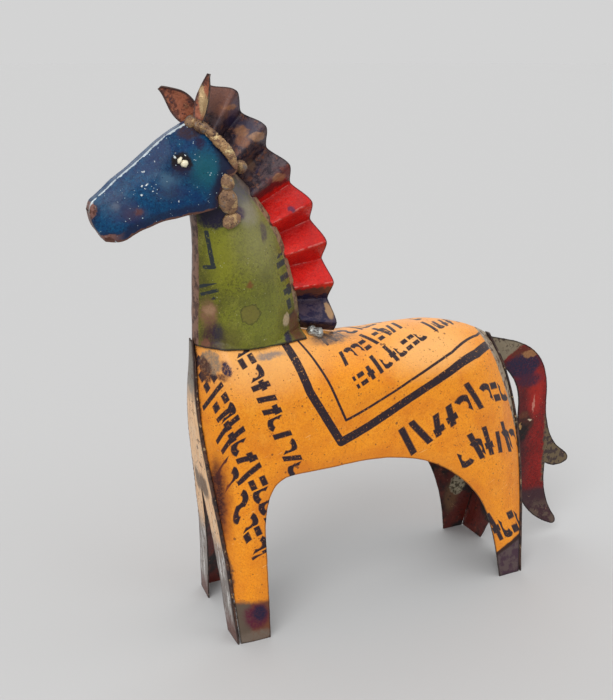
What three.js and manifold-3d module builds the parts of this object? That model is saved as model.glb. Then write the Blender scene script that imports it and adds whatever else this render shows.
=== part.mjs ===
// A small standing horse made of cut and bent scrap tin, brazed together.
// Millimetres. +Z is up, the head points to -X, the horse's left side faces -Y.
// The origin is on the floor under the middle of the overall box.
import * as THREE from 'three';
import { mergeVertices } from 'three/addons/utils/BufferGeometryUtils.js';
import Module from 'manifold-3d';

const wasm = await Module();
wasm.setup();

// ---------------------------------------------------------------- driving dimensions
const SHEET = 0.6;            // thickness of the tin
const GAP = 0.3;              // clearance between neighbouring pieces
const CENTRE_SHIFT = 0.92;    // moves the feet so that the overall box is centred on X
const FAR = 200;              // length of a cutter that passes right through

const BACK_HEIGHT = 96.4;     // top of the back behind the mane
const WITHERS_RISE = 5.9;     // how much higher the back is under the neck
const ARCH_RADIUS = 17.2;     // the rounded back, and half the barrel's width
const FOOT_SPREAD = 2.7;      // how far each side leans out from barrel to foot
const RUMP_LENGTH = 31;       // the stretch where the sides draw in to the tail
const CHEST_TOP = 100.2;
const RUMP_TOP = 88.5;
const CHEST_FORK_HEIGHT = 49;
const RUMP_FORK_HEIGHT = 17;
const FORK_HALF = 10.2;       // half the gap between the two strips at the floor
const RUMP_FORK_HALF = 7.6;

const NECK_FACE_HALF = 3;     // half the flat strip down the front of the neck
const NECK_SEAM_HALF = 1.3;   // half the narrow seam up its back
const HEAD_BAND_HALF = 2;     // half the flat band along the top of the nose

const MANE_PLEATS = 7;
const MANE_WAVE = 2.9;        // how far each pleat swings to either side
const MANE_SCALLOP = 2.6;     // how much further the top left folds stand out than the right ones

// ---------------------------------------------------------------- small tools
// A smooth curve through a few [at, value] pairs.
function profile(pairs) {
  const curve = new THREE.CubicInterpolant(
    pairs.map((pair) => pair[0]),
    pairs.map((pair) => pair[1]),
    1,
    new Float64Array(1),
  );
  return (at) => curve.evaluate(THREE.MathUtils.clamp(at, pairs[0][0], pairs.at(-1)[0]))[0];
}

function geometryOf(points, triangles) {
  const geometry = new THREE.BufferGeometry();
  geometry.setAttribute('position', new THREE.Float32BufferAttribute(points, 3));
  geometry.setIndex(triangles);
  return geometry;
}

function toSolid(geometry) {
  const bare = geometry.clone();
  bare.deleteAttribute('normal');
  bare.deleteAttribute('uv');
  const merged = mergeVertices(bare, 1e-5);
  const vertProperties = new Float32Array(merged.attributes.position.array);
  const triVerts = new Uint32Array(merged.index.array);
  const solid = new wasm.Manifold(new wasm.Mesh({ numProp: 3, vertProperties, triVerts }));
  if (solid.volume() > 0) return solid;
  triVerts.reverse();
  return new wasm.Manifold(new wasm.Mesh({ numProp: 3, vertProperties, triVerts }));
}

function toGeometry(solid) {
  const mesh = solid.getMesh();
  return geometryOf(Array.from(mesh.vertProperties), Array.from(mesh.triVerts));
}

// A bent sheet: surface(u, v) gives the middle of the metal for u and v from 0 to 1,
// and half of the thickness goes to each side. With loop, v = 1 joins back to v = 0.
function bentSheet(surface, uSteps, vSteps, thickness = SHEET, loop = false) {
  const rows = uSteps + 1;
  const columns = loop ? vSteps : vSteps + 1;
  const step = 1e-3;
  const points = [];
  for (const side of [1, -1]) {
    for (let i = 0; i < rows; i += 1) {
      for (let j = 0; j < columns; j += 1) {
        const u = i / uSteps;
        const v = j / vSteps;
        const du = surface(Math.min(u + step, 1), v).sub(surface(Math.max(u - step, 0), v));
        const dv = loop
          ? surface(u, (v + step) % 1).sub(surface(u, (v + 1 - step) % 1))
          : surface(u, Math.min(v + step, 1)).sub(surface(u, Math.max(v - step, 0)));
        const normal = du.cross(dv).normalize();
        points.push(...surface(u, v).addScaledVector(normal, (side * thickness) / 2));
      }
    }
  }
  const back = rows * columns;
  const triangles = [];
  const quad = (a, b, c, d) => triangles.push(a, b, c, a, c, d);
  const at = (i, j) => i * columns + (j % columns);
  for (let i = 0; i < uSteps; i += 1) {
    for (let j = 0; j < vSteps; j += 1) {
      const [a, b, c, d] = [at(i, j), at(i + 1, j), at(i + 1, j + 1), at(i, j + 1)];
      quad(a, b, c, d);
      quad(back + d, back + c, back + b, back + a);
    }
  }
  for (let j = 0; j < vSteps; j += 1) {
    quad(at(0, j), at(0, j + 1), back + at(0, j + 1), back + at(0, j));
    quad(at(uSteps, j + 1), at(uSteps, j), back + at(uSteps, j), back + at(uSteps, j + 1));
  }
  if (!loop) {
    for (let i = 0; i < uSteps; i += 1) {
      quad(at(i + 1, 0), at(i, 0), back + at(i, 0), back + at(i + 1, 0));
      quad(at(i, vSteps), at(i + 1, vSteps), back + at(i + 1, vSteps), back + at(i, vSteps));
    }
  }
  return toSolid(geometryOf(points, triangles));
}

// A closed solid through rings of the same number of points, with flat ends.
function loft(rings) {
  const count = rings[0].length;
  const points = rings.flat().flatMap((point) => point.toArray());
  const triangles = [];
  for (let i = 0; i + 1 < rings.length; i += 1) {
    for (let j = 0; j < count; j += 1) {
      const next = (j + 1) % count;
      const [a, b] = [i * count + j, i * count + next];
      triangles.push(a, b, b + count, a, b + count, a + count);
    }
  }
  for (const [first, flip] of [[0, true], [(rings.length - 1) * count, false]]) {
    const hub = points.length / 3;
    const ring = rings[first / count];
    const middle = ring.reduce((sum, point) => sum.add(point), new THREE.Vector3()).divideScalar(count);
    points.push(...middle);
    for (let j = 0; j < count; j += 1) {
      const edge = [first + j, first + ((j + 1) % count)];
      triangles.push(hub, ...(flip ? edge.reverse() : edge));
    }
  }
  return toSolid(geometryOf(points, triangles));
}

// A shape drawn in the X-Z plane, made solid from y = near to y = far.
function sideProfile(shape, near = -FAR / 2, far = FAR / 2) {
  const geometry = new THREE.ExtrudeGeometry(shape, {
    depth: far - near,
    bevelEnabled: false,
    curveSegments: 8,
  });
  geometry.rotateX(Math.PI / 2);
  geometry.translate(0, far, 0);
  return toSolid(geometry);
}

// A shape drawn in the Y-Z plane, made solid from x = from to x = to.
function frontProfile(shape, from, to) {
  const geometry = new THREE.ExtrudeGeometry(shape, { depth: to - from, bevelEnabled: false });
  geometry.rotateX(Math.PI / 2);
  geometry.rotateZ(Math.PI / 2);
  geometry.translate(from, 0, 0);
  return toSolid(geometry);
}

function above(height) {
  const block = new THREE.BoxGeometry(FAR * 2, FAR, FAR * 2);
  block.translate(0, 0, height + FAR);
  return toSolid(block);
}

const floorCut = above(0);

const horse = new THREE.Group();
horse.position.x = CENTRE_SHIFT;

// Cutting can leave crumbs behind: a piece is its one largest body.
function largest(solid) {
  const bodies = solid.decompose();
  return bodies.reduce((best, body) => (body.volume() > best.volume() ? body : best));
}

function addPiece(name, solid, material) {
  const geometry = toGeometry(largest(solid)).toNonIndexed();
  geometry.computeVertexNormals();
  const mesh = new THREE.Mesh(geometry, material);
  mesh.name = name;
  horse.add(mesh);
}

function finish(color, roughness, metalness = 0.3) {
  return new THREE.MeshStandardMaterial({ color, roughness, metalness });
}

const orangePrint = finish(0xf0a028, 0.4);
const bareTin = finish(0xb9a58c, 0.45, 0.7);
const greenPaint = finish(0x6f7c2c, 0.45);
const blueEnamel = finish(0x16476f, 0.35);
const rustedTin = finish(0x8a4a36, 0.6, 0.6);
const redPaint = finish(0xb8201c, 0.45);
const burntRed = finish(0x8c241c, 0.5);
const brass = finish(0x9c8350, 0.5, 0.7);
const solder = finish(0x9a9a98, 0.4, 0.8);
const weldDot = finish(0xe8e0c8, 0.5, 0.4);

// ---------------------------------------------------------------- body and plates
// The edges where the body sheet meets the chest plate and the rump plate, by height.
const chestX = profile([[0, -56.4], [30, -58.2], [50, -60.4], [75, -62.9], [CHEST_TOP, -62.4]]);
const chestHalf = profile([[0, 19.7], [25, 14.3], [45, 10.6], [60, 8.2], [80, 5], [CHEST_TOP, 1.4]]);
const rumpX = profile([[0, 55.3], [25, 57.4], [44, 57.5], [64, 55.3], [75, 52.6], [RUMP_TOP, 47.6]]);
const rumpHalf = profile([[0, 19.7], [25, 14.5], [44, 11.2], [64, 8], [80, 5], [RUMP_TOP, 1.4]]);

// How far back from the chest plate the sides take to reach full width, by height.
const shoulderLength = profile([[0, 6], [40, 16], [65, 18], [84, 12], [CHEST_TOP, 5]]);

const ARCH_PART = 6 / 17;     // share of each side that is the rounded back
const UNDER_FLOOR = 1;        // the legs are cut level after bending
const CHEST_BEND = 2.2;       // how sharply the sides turn in at each end
const RUMP_BEND = 2.4;
const EDGE_SET_BACK = SHEET / 2 + 2 * GAP;

function withersRise(x) {
  return WITHERS_RISE * THREE.MathUtils.smoothstep(-x, 8, 48);
}

// along runs from chest (0) to rump (1), around from the left foot (0) over the back to the right.
function bodySurface(along, around) {
  const side = around < 0.5 ? -1 : 1;
  const down = Math.abs(around - 0.5) * 2;
  const arch = Math.min(down / ARCH_PART, 1);
  const angle = (arch * Math.PI) / 2;
  const below = Math.max(down - ARCH_PART, 0) / (1 - ARCH_PART);
  const archFoot = BACK_HEIGHT - ARCH_RADIUS;
  const drop = (from) => THREE.MathUtils.lerp(from, -UNDER_FLOOR, below);

  const frontZ = drop(THREE.MathUtils.lerp(CHEST_TOP, archFoot, arch));
  const rearZ = drop(THREE.MathUtils.lerp(RUMP_TOP, archFoot - 4, arch));
  const closeUp = Math.min(arch * 4, 1);
  const frontY = (chestHalf(frontZ) - SHEET / 2) * closeUp;
  const rearY = (rumpHalf(rearZ) - SHEET / 2) * closeUp;
  const frontX = chestX(frontZ) + EDGE_SET_BACK;
  const rearX = rumpX(rearZ) - EDGE_SET_BACK;

  const x = THREE.MathUtils.lerp(frontX, rearX, along);
  const midZ = drop(archFoot + (ARCH_RADIUS + withersRise(x)) * Math.cos(angle));
  const midY = ARCH_RADIUS * Math.sin(angle) + FOOT_SPREAD * below;
  const toChest = Math.max(1 - (x - frontX) / shoulderLength(frontZ), 0) ** CHEST_BEND;
  const toRump = Math.max(1 - (rearX - x) / RUMP_LENGTH, 0) ** RUMP_BEND;
  const blend = (middle, front, rear) => middle + (front - middle) * toChest + (rear - middle) * toRump;
  return new THREE.Vector3(x, side * blend(midY, frontY, rearY), blend(midZ, frontZ, rearZ));
}

function bellyShape() {
  const shape = new THREE.Shape();
  shape.moveTo(-45.2, -5);
  shape.lineTo(-45.8, 38);
  shape.bezierCurveTo(-45.6, 50, -43.5, 56, -36, 56.5);
  shape.lineTo(-12, 56.9);
  shape.bezierCurveTo(12, 56.5, 24, 48, 34, 36);
  shape.bezierCurveTo(40, 28, 44.5, 14, 46.4, -5);
  return shape;
}

function forkShape(half, height) {
  const shape = new THREE.Shape();
  const slope = half / height;
  shape.moveTo(-half - slope * 5, -5);
  shape.lineTo(0, height);
  shape.lineTo(half + slope * 5, -5);
  return shape;
}

const bodySolid = bentSheet(bodySurface, 26, 34)
  .intersect(floorCut)
  .subtract(sideProfile(bellyShape()));
addPiece('body', bodySolid, orangePrint);

function endPlate(edgeX, half, top, forkHalf, forkHeight, bulge) {
  const surface = (up, across) => {
    const z = THREE.MathUtils.lerp(-UNDER_FLOOR, top, up);
    const side = across * 2 - 1;
    return new THREE.Vector3(edgeX(z) + bulge * (1 - side * side), side * half(z), z);
  };
  const x = edgeX(0);
  return bentSheet(surface, 18, 4)
    .intersect(floorCut)
    .subtract(frontProfile(forkShape(forkHalf, forkHeight), x - 30, x + 30));
}

const chestPlate = endPlate(chestX, chestHalf, CHEST_TOP, FORK_HALF, CHEST_FORK_HEIGHT, -0.5);
addPiece('chest_plate', chestPlate, bareTin);
const rumpPlate = endPlate(rumpX, rumpHalf, RUMP_TOP, RUMP_FORK_HALF, RUMP_FORK_HEIGHT, 0.5);
addPiece('rump_plate', rumpPlate, burntRed);

// ---------------------------------------------------------------- head
const nose = -91.3;
const headRear = -46;
const headTop = profile([[nose, 142.6], [-90.8, 144.2], [-89, 146], [-78, 154.6], [-66.7, 163], [-60.6, 166],
  [-56.5, 166.4], [headRear, 166.4]]);
const headLow = profile([[nose, 141.8], [-90.8, 139.6], [-88.9, 136], [-86, 132.2], [-80, 131.5],
  [headRear, 134]]);
const headHalf = profile([[nose, 2.1], [-90.8, 2.6], [-89, 4], [-85, 5.6], [-70, 8.2], [-58, 9.4],
  [headRear, 9.4]]);

function headRing(x, inset) {
  const top = headTop(x) - inset;
  const low = headLow(x) + inset;
  const half = Math.max(headHalf(x) - inset, 0.5);
  const band = Math.min(HEAD_BAND_HALF - inset * 0.4, half * 0.95);
  const drops = [0, 0.05, 0.14, 0.28, 0.48, 0.72, 0.9, 1];
  const right = drops.map((drop) => {
    const dome = drop < 0.62 ? 1 - (1 - drop / 0.62) ** 2 : 1 - 0.35 * ((drop - 0.62) / 0.38) ** 2;
    const y = THREE.MathUtils.lerp(band, half, dome);
    return new THREE.Vector3(x, y, THREE.MathUtils.lerp(top, low, drop));
  });
  const left = right.map((point) => point.clone().setY(-point.y)).reverse();
  return [...right, ...left];
}

function headLoft(inset) {
  const stations = [0, 0.6, 1.5, 2.8, 5, 8.5, 13, 18, 23, 28, 33, 38, 42, 46.2];
  return loft(stations.map((station) => {
    const x = nose + station;
    const shifted = Math.max(x, nose + inset);
    return headRing(shifted + (shifted > x ? 0.01 * station : 0), inset);
  }));
}

// The cut pattern seen from the side: nose and top run free, the jaw and the rear lobe are cut.
function headPattern() {
  const shape = new THREE.Shape();
  shape.moveTo(-100, 133.6);
  shape.lineTo(-85.5, 133.6);
  shape.bezierCurveTo(-80, 133.6, -78, 138.6, -68, 139.6);
  shape.lineTo(-55.2, 141.8);
  shape.lineTo(-56, 145.4);
  shape.lineTo(-49.3, 152.6);
  shape.bezierCurveTo(-49.4, 158, -54.5, 165, -60.2, 166.2);
  shape.lineTo(-64, 180);
  shape.lineTo(-100, 180);
  return shape;
}

const headSolid = headLoft(0).subtract(headLoft(SHEET)).intersect(sideProfile(headPattern()));
addPiece('head', headSolid, blueEnamel);

// ---------------------------------------------------------------- neck
// Each level of the neck is a lens from the front strip to the seam at the back.
const neckFrontX = profile([[0, -62.6], [0.25, -61.9], [0.6, -60.9], [1, -60.9]]);
const neckFrontZ = profile([[0, 88], [0.5, 119], [1, 145.5]]);
const neckRearX = profile([[0, -25.6], [0.3, -27.2], [0.6, -31.8], [0.8, -38.5], [1, -52]]);
const neckRearZ = profile([[0, 88], [0.3, 108], [0.6, 127], [0.8, 140], [1, 155.5]]);
const neckHalf = profile([[0, 10.4], [0.4, 11.6], [0.75, 9.6], [1, 7]]);

function neckSurface(up, around) {
  const side = around < 0.5 ? -1 : 1;
  const facePart = 0.06;
  const seamPart = 0.03;
  const turn = Math.abs(around - 0.5) * 2;
  const away = 1 - turn;
  let back = THREE.MathUtils.clamp((away - facePart) / (1 - facePart - seamPart), 0, 1);
  let half = THREE.MathUtils.lerp(NECK_FACE_HALF, NECK_SEAM_HALF, back);
  half += (neckHalf(up) - 2) * Math.sin(Math.PI * back ** 0.92);
  if (away < facePart) half *= away / facePart;
  if (away > 1 - seamPart) half *= (1 - away) / seamPart;
  back = back * 0.98 + 0.02 * THREE.MathUtils.clamp(away / facePart, 0, 1);
  return new THREE.Vector3(
    THREE.MathUtils.lerp(neckFrontX(up), neckRearX(up), back),
    side * half,
    THREE.MathUtils.lerp(neckFrontZ(up), neckRearZ(up), back),
  );
}

// The neck is trimmed to sit on the back: nothing of it enters the body's outer surface.
function bodyKeepOut() {
  const rings = [];
  const stations = 18;
  const reach = 0.62;
  for (let i = 0; i <= stations; i += 1) {
    const along = (i / stations) * reach;
    const ring = [];
    for (let j = 0; j <= 24; j += 1) {
      const point = bodySurface(along, 0.2 + (0.6 * j) / 24);
      const lift = SHEET / 2 + GAP;
      ring.push(new THREE.Vector3(point.x, point.y * (1 + lift / 17), point.z + lift));
    }
    rings.push(ring);
  }
  const ahead = rings[0].map((point) => point.clone().setX(point.x - 4));
  return loft([ahead, ...rings]);
}

const onTheBack = bodyKeepOut().add(bentSheet(bodySurface, 26, 34, SHEET + 2 * GAP));

// The hem runs level across the front strip, above the top of the chest plate.
function neckHem() {
  const shape = new THREE.Shape();
  shape.moveTo(-80, 98.2);
  shape.lineTo(-59.5, 97.6);
  shape.lineTo(-54, 90);
  shape.lineTo(0, 90);
  shape.lineTo(0, 200);
  shape.lineTo(-80, 200);
  return shape;
}

const neckSolid = bentSheet(neckSurface, 10, 24, SHEET, true)
  .subtract(onTheBack)
  .intersect(sideProfile(neckHem()));
const roundTheNeck = bentSheet(neckSurface, 10, 24, SHEET + 2 * GAP, true);
addPiece('neck', neckSolid, greenPaint);

// ---------------------------------------------------------------- mane
const maneOuter = new THREE.CatmullRomCurve3([
  new THREE.Vector3(-52.6, 0, 178.6),
  new THREE.Vector3(-43.6, 0, 171.4),
  new THREE.Vector3(-31, 0, 153.5),
  new THREE.Vector3(-20.6, 0, 136),
  new THREE.Vector3(-15.4, 0, 116),
  new THREE.Vector3(-13.6, 0, 93.5),
]);
const maneInner = new THREE.CatmullRomCurve3([
  new THREE.Vector3(-55.8, 0, 168),
  new THREE.Vector3(-52.2, 0, 159.2),
  new THREE.Vector3(-43.6, 0, 146.9),
  new THREE.Vector3(-34.4, 0, 133.4),
  new THREE.Vector3(-28, 0, 114),
  new THREE.Vector3(-25, 0, 97.5),
]);

function maneSurface(along, across) {
  const swing = Math.cos(along * MANE_PLEATS * 2 * Math.PI);
  const inner = maneInner.getPointAt(along);
  const outer = maneOuter.getPointAt(along);
  const width = outer.distanceTo(inner);
  const scallop = MANE_SCALLOP * Math.max(1 - 1.1 * along, 0);
  const point = inner.lerp(outer, across * (1 - (scallop * (1 + swing)) / 2 / width));
  point.y = (MANE_WAVE * Math.asin(0.96 * swing)) / Math.asin(0.96);
  return point;
}

const maneSolid = bentSheet(maneSurface, MANE_PLEATS * 6, 2).subtract(onTheBack).subtract(roundTheNeck);
addPiece('mane', maneSolid, redPaint);

// ---------------------------------------------------------------- braze, solder and eyes
// A run of filler metal along a few points, swelling and thinning as it was laid.
function bead(points, radius, lumps, sides = 7) {
  const path = new THREE.CatmullRomCurve3(points.map((point) => new THREE.Vector3(...point)));
  const steps = lumps * 3;
  const rings = [];
  for (let i = 0; i <= steps; i += 1) {
    const along = i / steps;
    const centre = path.getPointAt(along);
    const ahead = path.getTangentAt(along);
    const across = new THREE.Vector3(0, 1, 0).cross(ahead).normalize();
    const up = ahead.clone().cross(across);
    const swell = 1 - 0.22 * Math.cos(along * lumps * 2 * Math.PI);
    const taper = Math.max(Math.sin(Math.PI * along), 0) ** 0.35;
    const reach = Math.max(radius * swell * taper, radius * 0.25);
    const ring = [];
    for (let k = 0; k < sides; k += 1) {
      const turn = (k / sides) * 2 * Math.PI;
      ring.push(centre.clone()
        .addScaledVector(across, reach * Math.cos(turn))
        .addScaledVector(up, reach * Math.sin(turn)));
    }
    rings.push(ring);
  }
  return loft(rings);
}

const roundTheHead = headLoft(-GAP);

for (const [name, side] of [['left', -1], ['right', 1]]) {
  const arc = [[-58.4, 3.8, 165.2], [-55, 6.6, 161.6], [-51.6, 8.6, 157.4], [-49.6, 9.2, 152.8]];
  const jaw = [[-51.2, 9.4, 151], [-54.2, 9.8, 148], [-54.4, 10, 143.6], [-52.6, 10, 139.4],
    [-50.6, 9.6, 137.4]];
  const mirrored = (points) => points.map(([x, y, z]) => [x, side * y, z]);
  const headBead = bead(mirrored(arc), 1.35, 4).subtract(roundTheHead).subtract(roundTheNeck);
  addPiece(`braze_head_${name}`, headBead, brass);
  const jawBead = bead(mirrored(jaw), 2, 3).subtract(roundTheHead).subtract(roundTheNeck);
  addPiece(`braze_jaw_${name}`, jawBead, brass);

  const eye = new THREE.SphereGeometry(1.1, 10, 6);
  eye.scale(1, 0.6, 1);
  eye.translate(-64.9, side * 7.3, 155.2);
  addPiece(`eye_${name}`, toSolid(eye).subtract(roundTheHead), weldDot);
}

const withersPath = [[-24.5, -2.6, 99.4], [-22.4, -4.4, 98.6], [-19.6, -4.8, 97.6]];
const withersLump = bead(withersPath, 2, 2).subtract(onTheBack).subtract(roundTheNeck)
  .subtract(bentSheet(maneSurface, MANE_PLEATS * 6, 2, SHEET + 2 * GAP));
addPiece('solder_withers', withersLump, solder);

// ---------------------------------------------------------------- ears
// A leaf of tin: pointed, creased along the middle and cupped, with a lump of braze at its root.
function earSolid(root, tip, facing, width, cup) {
  const axis = tip.clone().sub(root);
  const length = axis.length();
  axis.normalize();
  const across = axis.clone().cross(facing).normalize();
  const out = across.clone().cross(axis).normalize();
  const surface = (up, side) => {
    const span = side * 2 - 1;
    const half = (width / 2) * (0.12 + 0.88 * Math.sin(Math.PI * (0.18 + 0.8 * up) ** 0.9));
    return root.clone()
      .addScaledVector(axis, up * length)
      .addScaledVector(across, span * half)
      .addScaledVector(out, cup * Math.abs(span) * (1 - 0.5 * up));
  };
  const lump = new THREE.SphereGeometry(1.6, 8, 6);
  lump.translate(...root);
  return bentSheet(surface, 8, 6).add(toSolid(lump)).subtract(roundTheHead);
}

const leftEar = earSolid(
  new THREE.Vector3(-58.8, -3.6, 167.4), new THREE.Vector3(-56, -4.6, 179.2),
  new THREE.Vector3(-0.9, 0.42, 0.2), 7, 1.6);
addPiece('ear_left', leftEar, rustedTin);
const rightEar = earSolid(
  new THREE.Vector3(-60.2, 3.6, 167.4), new THREE.Vector3(-67.6, 4.6, 176),
  new THREE.Vector3(-0.55, -0.8, 0.2), 7.2, 1.2);
addPiece('ear_right', rightEar, rustedTin);

// ---------------------------------------------------------------- tail
function tailShape() {
  const shape = new THREE.Shape();
  shape.moveTo(44, 88.4);
  shape.lineTo(58, 84.4);
  shape.bezierCurveTo(70, 81.5, 75.5, 73, 76.4, 62);
  shape.bezierCurveTo(77, 50, 79, 41, 86, 36);
  shape.bezierCurveTo(89, 34, 90.6, 31.5, 88.6, 30.4);
  shape.bezierCurveTo(85.5, 29, 81.5, 29.4, 78.5, 31.3);
  shape.bezierCurveTo(77.6, 22, 79.4, 14.5, 84.6, 7.4);
  shape.bezierCurveTo(86, 4.8, 85, 3.6, 82.6, 4.6);
  shape.bezierCurveTo(76, 7.6, 71, 12, 67.6, 18.6);
  shape.bezierCurveTo(64.6, 28, 64, 42, 63.9, 58);
  shape.bezierCurveTo(63, 66.5, 59, 73.8, 51, 76.6);
  shape.lineTo(44, 78.6);
  return shape;
}

function rumpClearance() {
  const shape = new THREE.Shape();
  const steps = 8;
  shape.moveTo(0, 40);
  for (let i = 0; i <= steps; i += 1) {
    const z = THREE.MathUtils.lerp(40, RUMP_TOP + 0.6, i / steps);
    shape.lineTo(rumpX(z) + 0.5 + SHEET / 2 + GAP, z);
  }
  shape.lineTo(30, 100);
  shape.lineTo(0, 100);
  return shape;
}

const tailSolid = sideProfile(tailShape(), -SHEET / 2, SHEET / 2).subtract(sideProfile(rumpClearance()));
addPiece('tail', tailSolid, redPaint);

export default horse;
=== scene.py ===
"""A small standing horse of cut and bent scrap tin, brazed together.

Shapes are worked out in millimetres, in the maker's own frame, and stored in metres.
+Z is up, the head points to -X and the horse's left side faces -Y.
"""
import math

import bpy
import numpy as np
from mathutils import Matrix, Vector, noise
from mathutils.bvhtree import BVHTree
from mathutils.kdtree import KDTree


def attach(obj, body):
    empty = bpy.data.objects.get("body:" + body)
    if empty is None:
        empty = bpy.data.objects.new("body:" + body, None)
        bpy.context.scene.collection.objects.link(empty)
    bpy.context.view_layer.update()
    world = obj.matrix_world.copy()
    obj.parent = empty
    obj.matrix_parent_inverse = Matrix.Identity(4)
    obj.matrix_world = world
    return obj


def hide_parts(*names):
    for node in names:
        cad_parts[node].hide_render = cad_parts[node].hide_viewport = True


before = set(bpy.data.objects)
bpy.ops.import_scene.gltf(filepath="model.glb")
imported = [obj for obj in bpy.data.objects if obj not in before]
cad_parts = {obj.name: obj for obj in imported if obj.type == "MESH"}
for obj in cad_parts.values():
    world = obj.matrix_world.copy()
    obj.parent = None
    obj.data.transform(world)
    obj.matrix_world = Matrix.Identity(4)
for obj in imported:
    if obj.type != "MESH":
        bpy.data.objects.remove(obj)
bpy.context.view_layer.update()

# ---------------------------------------------------------------- driving sizes, in mm
CENTRE_SHIFT = 0.92      # from the maker's frame to the middle of the overall box
MM = 0.001
LINE_STEPS = 400         # steps along a smooth line
SHARP_ANGLE = 40         # degrees; flatter edges are smoothed
SNIP_SNAP = 0.07         # a cut this near a point goes through it
TIN = 0.45               # thickness of the sheets

BACK_HEIGHT = 96.4       # top of the back behind the mane
WITHERS_RISE = 5.9       # how much higher the back is under the neck
ARCH_RADIUS = 17.2       # the rounded back, and half the barrel's width
FOOT_SPREAD = 2.7        # how far each side leans out from barrel to foot
RUMP_LENGTH = 31         # the stretch where the sides draw in to the tail
CHEST_TOP = 100.2
RUMP_TOP = 88.5
CHEST_FORK_HEIGHT = 49
RUMP_FORK_HEIGHT = 17
FORK_HALF = 10.2         # half the gap between the two strips at the floor
RUMP_FORK_HALF = 7.6
ARCH_PART = 6 / 17       # share of each side that is the rounded back
UNDER_FLOOR = 1          # the legs are cut level after bending
CHEST_BEND = 2.2         # how sharply the sides turn in at each end
RUMP_BEND = 2.4
EDGE_SET_BACK = 0.9      # from the outside of an end plate to the edge of the body sheet

NECK_FACE_HALF = 3       # half the flat strip down the front of the neck
NECK_SEAM_HALF = 1.3     # half the narrow seam up its back
HEAD_BAND_HALF = 2       # half the flat band along the top of the nose
LAP_CLEARANCE = 0.34     # from the outside of the body sheet to the middle of the neck sheet

MANE_PLEATS = 7
MANE_WAVE = 2.9          # how far each pleat swings to either side
MANE_SCALLOP = 2.6       # how much further the top left folds stand out than the right ones


# ---------------------------------------------------------------- curves and sheets
def lerp(a, b, share):
    return a + (b - a) * share


def smoothstep(value, low, high):
    share = np.clip((value - low) / (high - low), 0, 1)
    return share * share * (3 - 2 * share)


def profile(pairs):
    """A smooth curve through a few (at, value) pairs."""
    at = np.array([pair[0] for pair in pairs], float)
    values = np.array([pair[1] for pair in pairs], float)
    last = len(at) - 1

    def evaluate(where):
        where = np.clip(np.asarray(where, float), at[0], at[-1])
        right = np.clip(np.searchsorted(at, where, side="right"), 1, last)
        left = right - 1
        before = np.where(left == 0, right, left - 1)
        after = np.where(right == last, left, np.minimum(right + 1, last))
        half_step = (at[right] - at[left]) / 2
        pull_before = half_step / (at[left] - at[before])
        pull_after = half_step / (at[after] - at[right])
        share = (where - at[left]) / (at[right] - at[left])
        square = share * share
        cube = square * share
        weight_before = -pull_before * cube + 2 * pull_before * square - pull_before * share
        weight_left = ((1 + pull_before) * cube + (-1.5 - 2 * pull_before) * square
                       + (-0.5 + pull_before) * share + 1)
        weight_right = (-1 - pull_after) * cube + (1.5 + pull_after) * square + 0.5 * share
        weight_after = pull_after * cube - pull_after * square
        return (weight_before * values[before] + weight_left * values[left]
                + weight_right * values[right] + weight_after * values[after])

    return evaluate


def catmull_rom(points):
    """A smooth line through points, as a function of the share of its length."""
    points = np.array(points, float)
    padded = np.vstack([2 * points[0] - points[1], points, 2 * points[-1] - points[-2]])
    dense = []
    for k in range(len(points) - 1):
        p = padded[k:k + 4]
        steps = [max(np.linalg.norm(p[i + 1] - p[i]), 1e-6) ** 0.5 for i in range(3)]
        t1 = ((p[1] - p[0]) / steps[0] - (p[2] - p[0]) / (steps[0] + steps[1]) + (p[2] - p[1]) / steps[1])
        t2 = ((p[2] - p[1]) / steps[1] - (p[3] - p[1]) / (steps[1] + steps[2]) + (p[3] - p[2]) / steps[2])
        t1 = t1 * steps[1]
        t2 = t2 * steps[1]
        for s in np.linspace(0, 1, LINE_STEPS // (len(points) - 1), endpoint=False):
            dense.append(p[1] + t1 * s + (-3 * p[1] + 3 * p[2] - 2 * t1 - t2) * s * s
                         + (2 * p[1] - 2 * p[2] + t1 + t2) * s ** 3)
    dense.append(points[-1])
    dense = np.array(dense)
    lengths = np.concatenate([[0], np.cumsum(np.linalg.norm(np.diff(dense, axis=0), axis=1))])
    lengths /= lengths[-1]

    def evaluate(share):
        return np.stack([np.interp(share, lengths, dense[:, k]) for k in range(3)], -1)

    return evaluate


def outline(start, *pieces):
    """A closed line: each piece is a corner (x, z) or a bend of three such pairs."""
    line = [start]
    for piece in pieces:
        if len(piece) == 2:
            line.append(piece)
            continue
        first = line[-1]
        for s in np.linspace(0, 1, 25)[1:]:
            weights = ((1 - s) ** 3, 3 * s * (1 - s) ** 2, 3 * s * s * (1 - s), s ** 3)
            corners = (first, piece[0:2], piece[2:4], piece[4:6])
            line.append(tuple(sum(w * c[k] for w, c in zip(weights, corners)) for k in (0, 1)))
    return np.array(line, float)


def distance_outside(line, flat):
    """How far flat points lie outside a closed line; negative inside it."""
    nearest = np.full(len(flat), 1e9)
    inside = np.zeros(len(flat), bool)
    for a, b in zip(line, np.roll(line, -1, axis=0)):
        edge = b - a
        reach = edge @ edge
        if reach < 1e-12:
            continue
        share = np.clip(((flat - a) @ edge) / reach, 0, 1)
        gap = np.linalg.norm(flat - a - share[:, None] * edge, axis=1)
        nearest = np.minimum(nearest, gap)
        if a[1] != b[1]:
            crosses = (a[1] > flat[:, 1]) != (b[1] > flat[:, 1])
            inside ^= crosses & (flat[:, 0] < edge[0] * (flat[:, 1] - a[1]) / edge[1] + a[0])
    return np.where(inside, -nearest, nearest)


def soft_noise(points, wavelength, seed):
    """Smooth bumps from -1 to 1, one for each point."""
    shift = Vector((seed * 17.3, seed * 5.1, seed * 11.7))
    return np.array([noise.noise(Vector(point) / wavelength + shift) for point in points])


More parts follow.
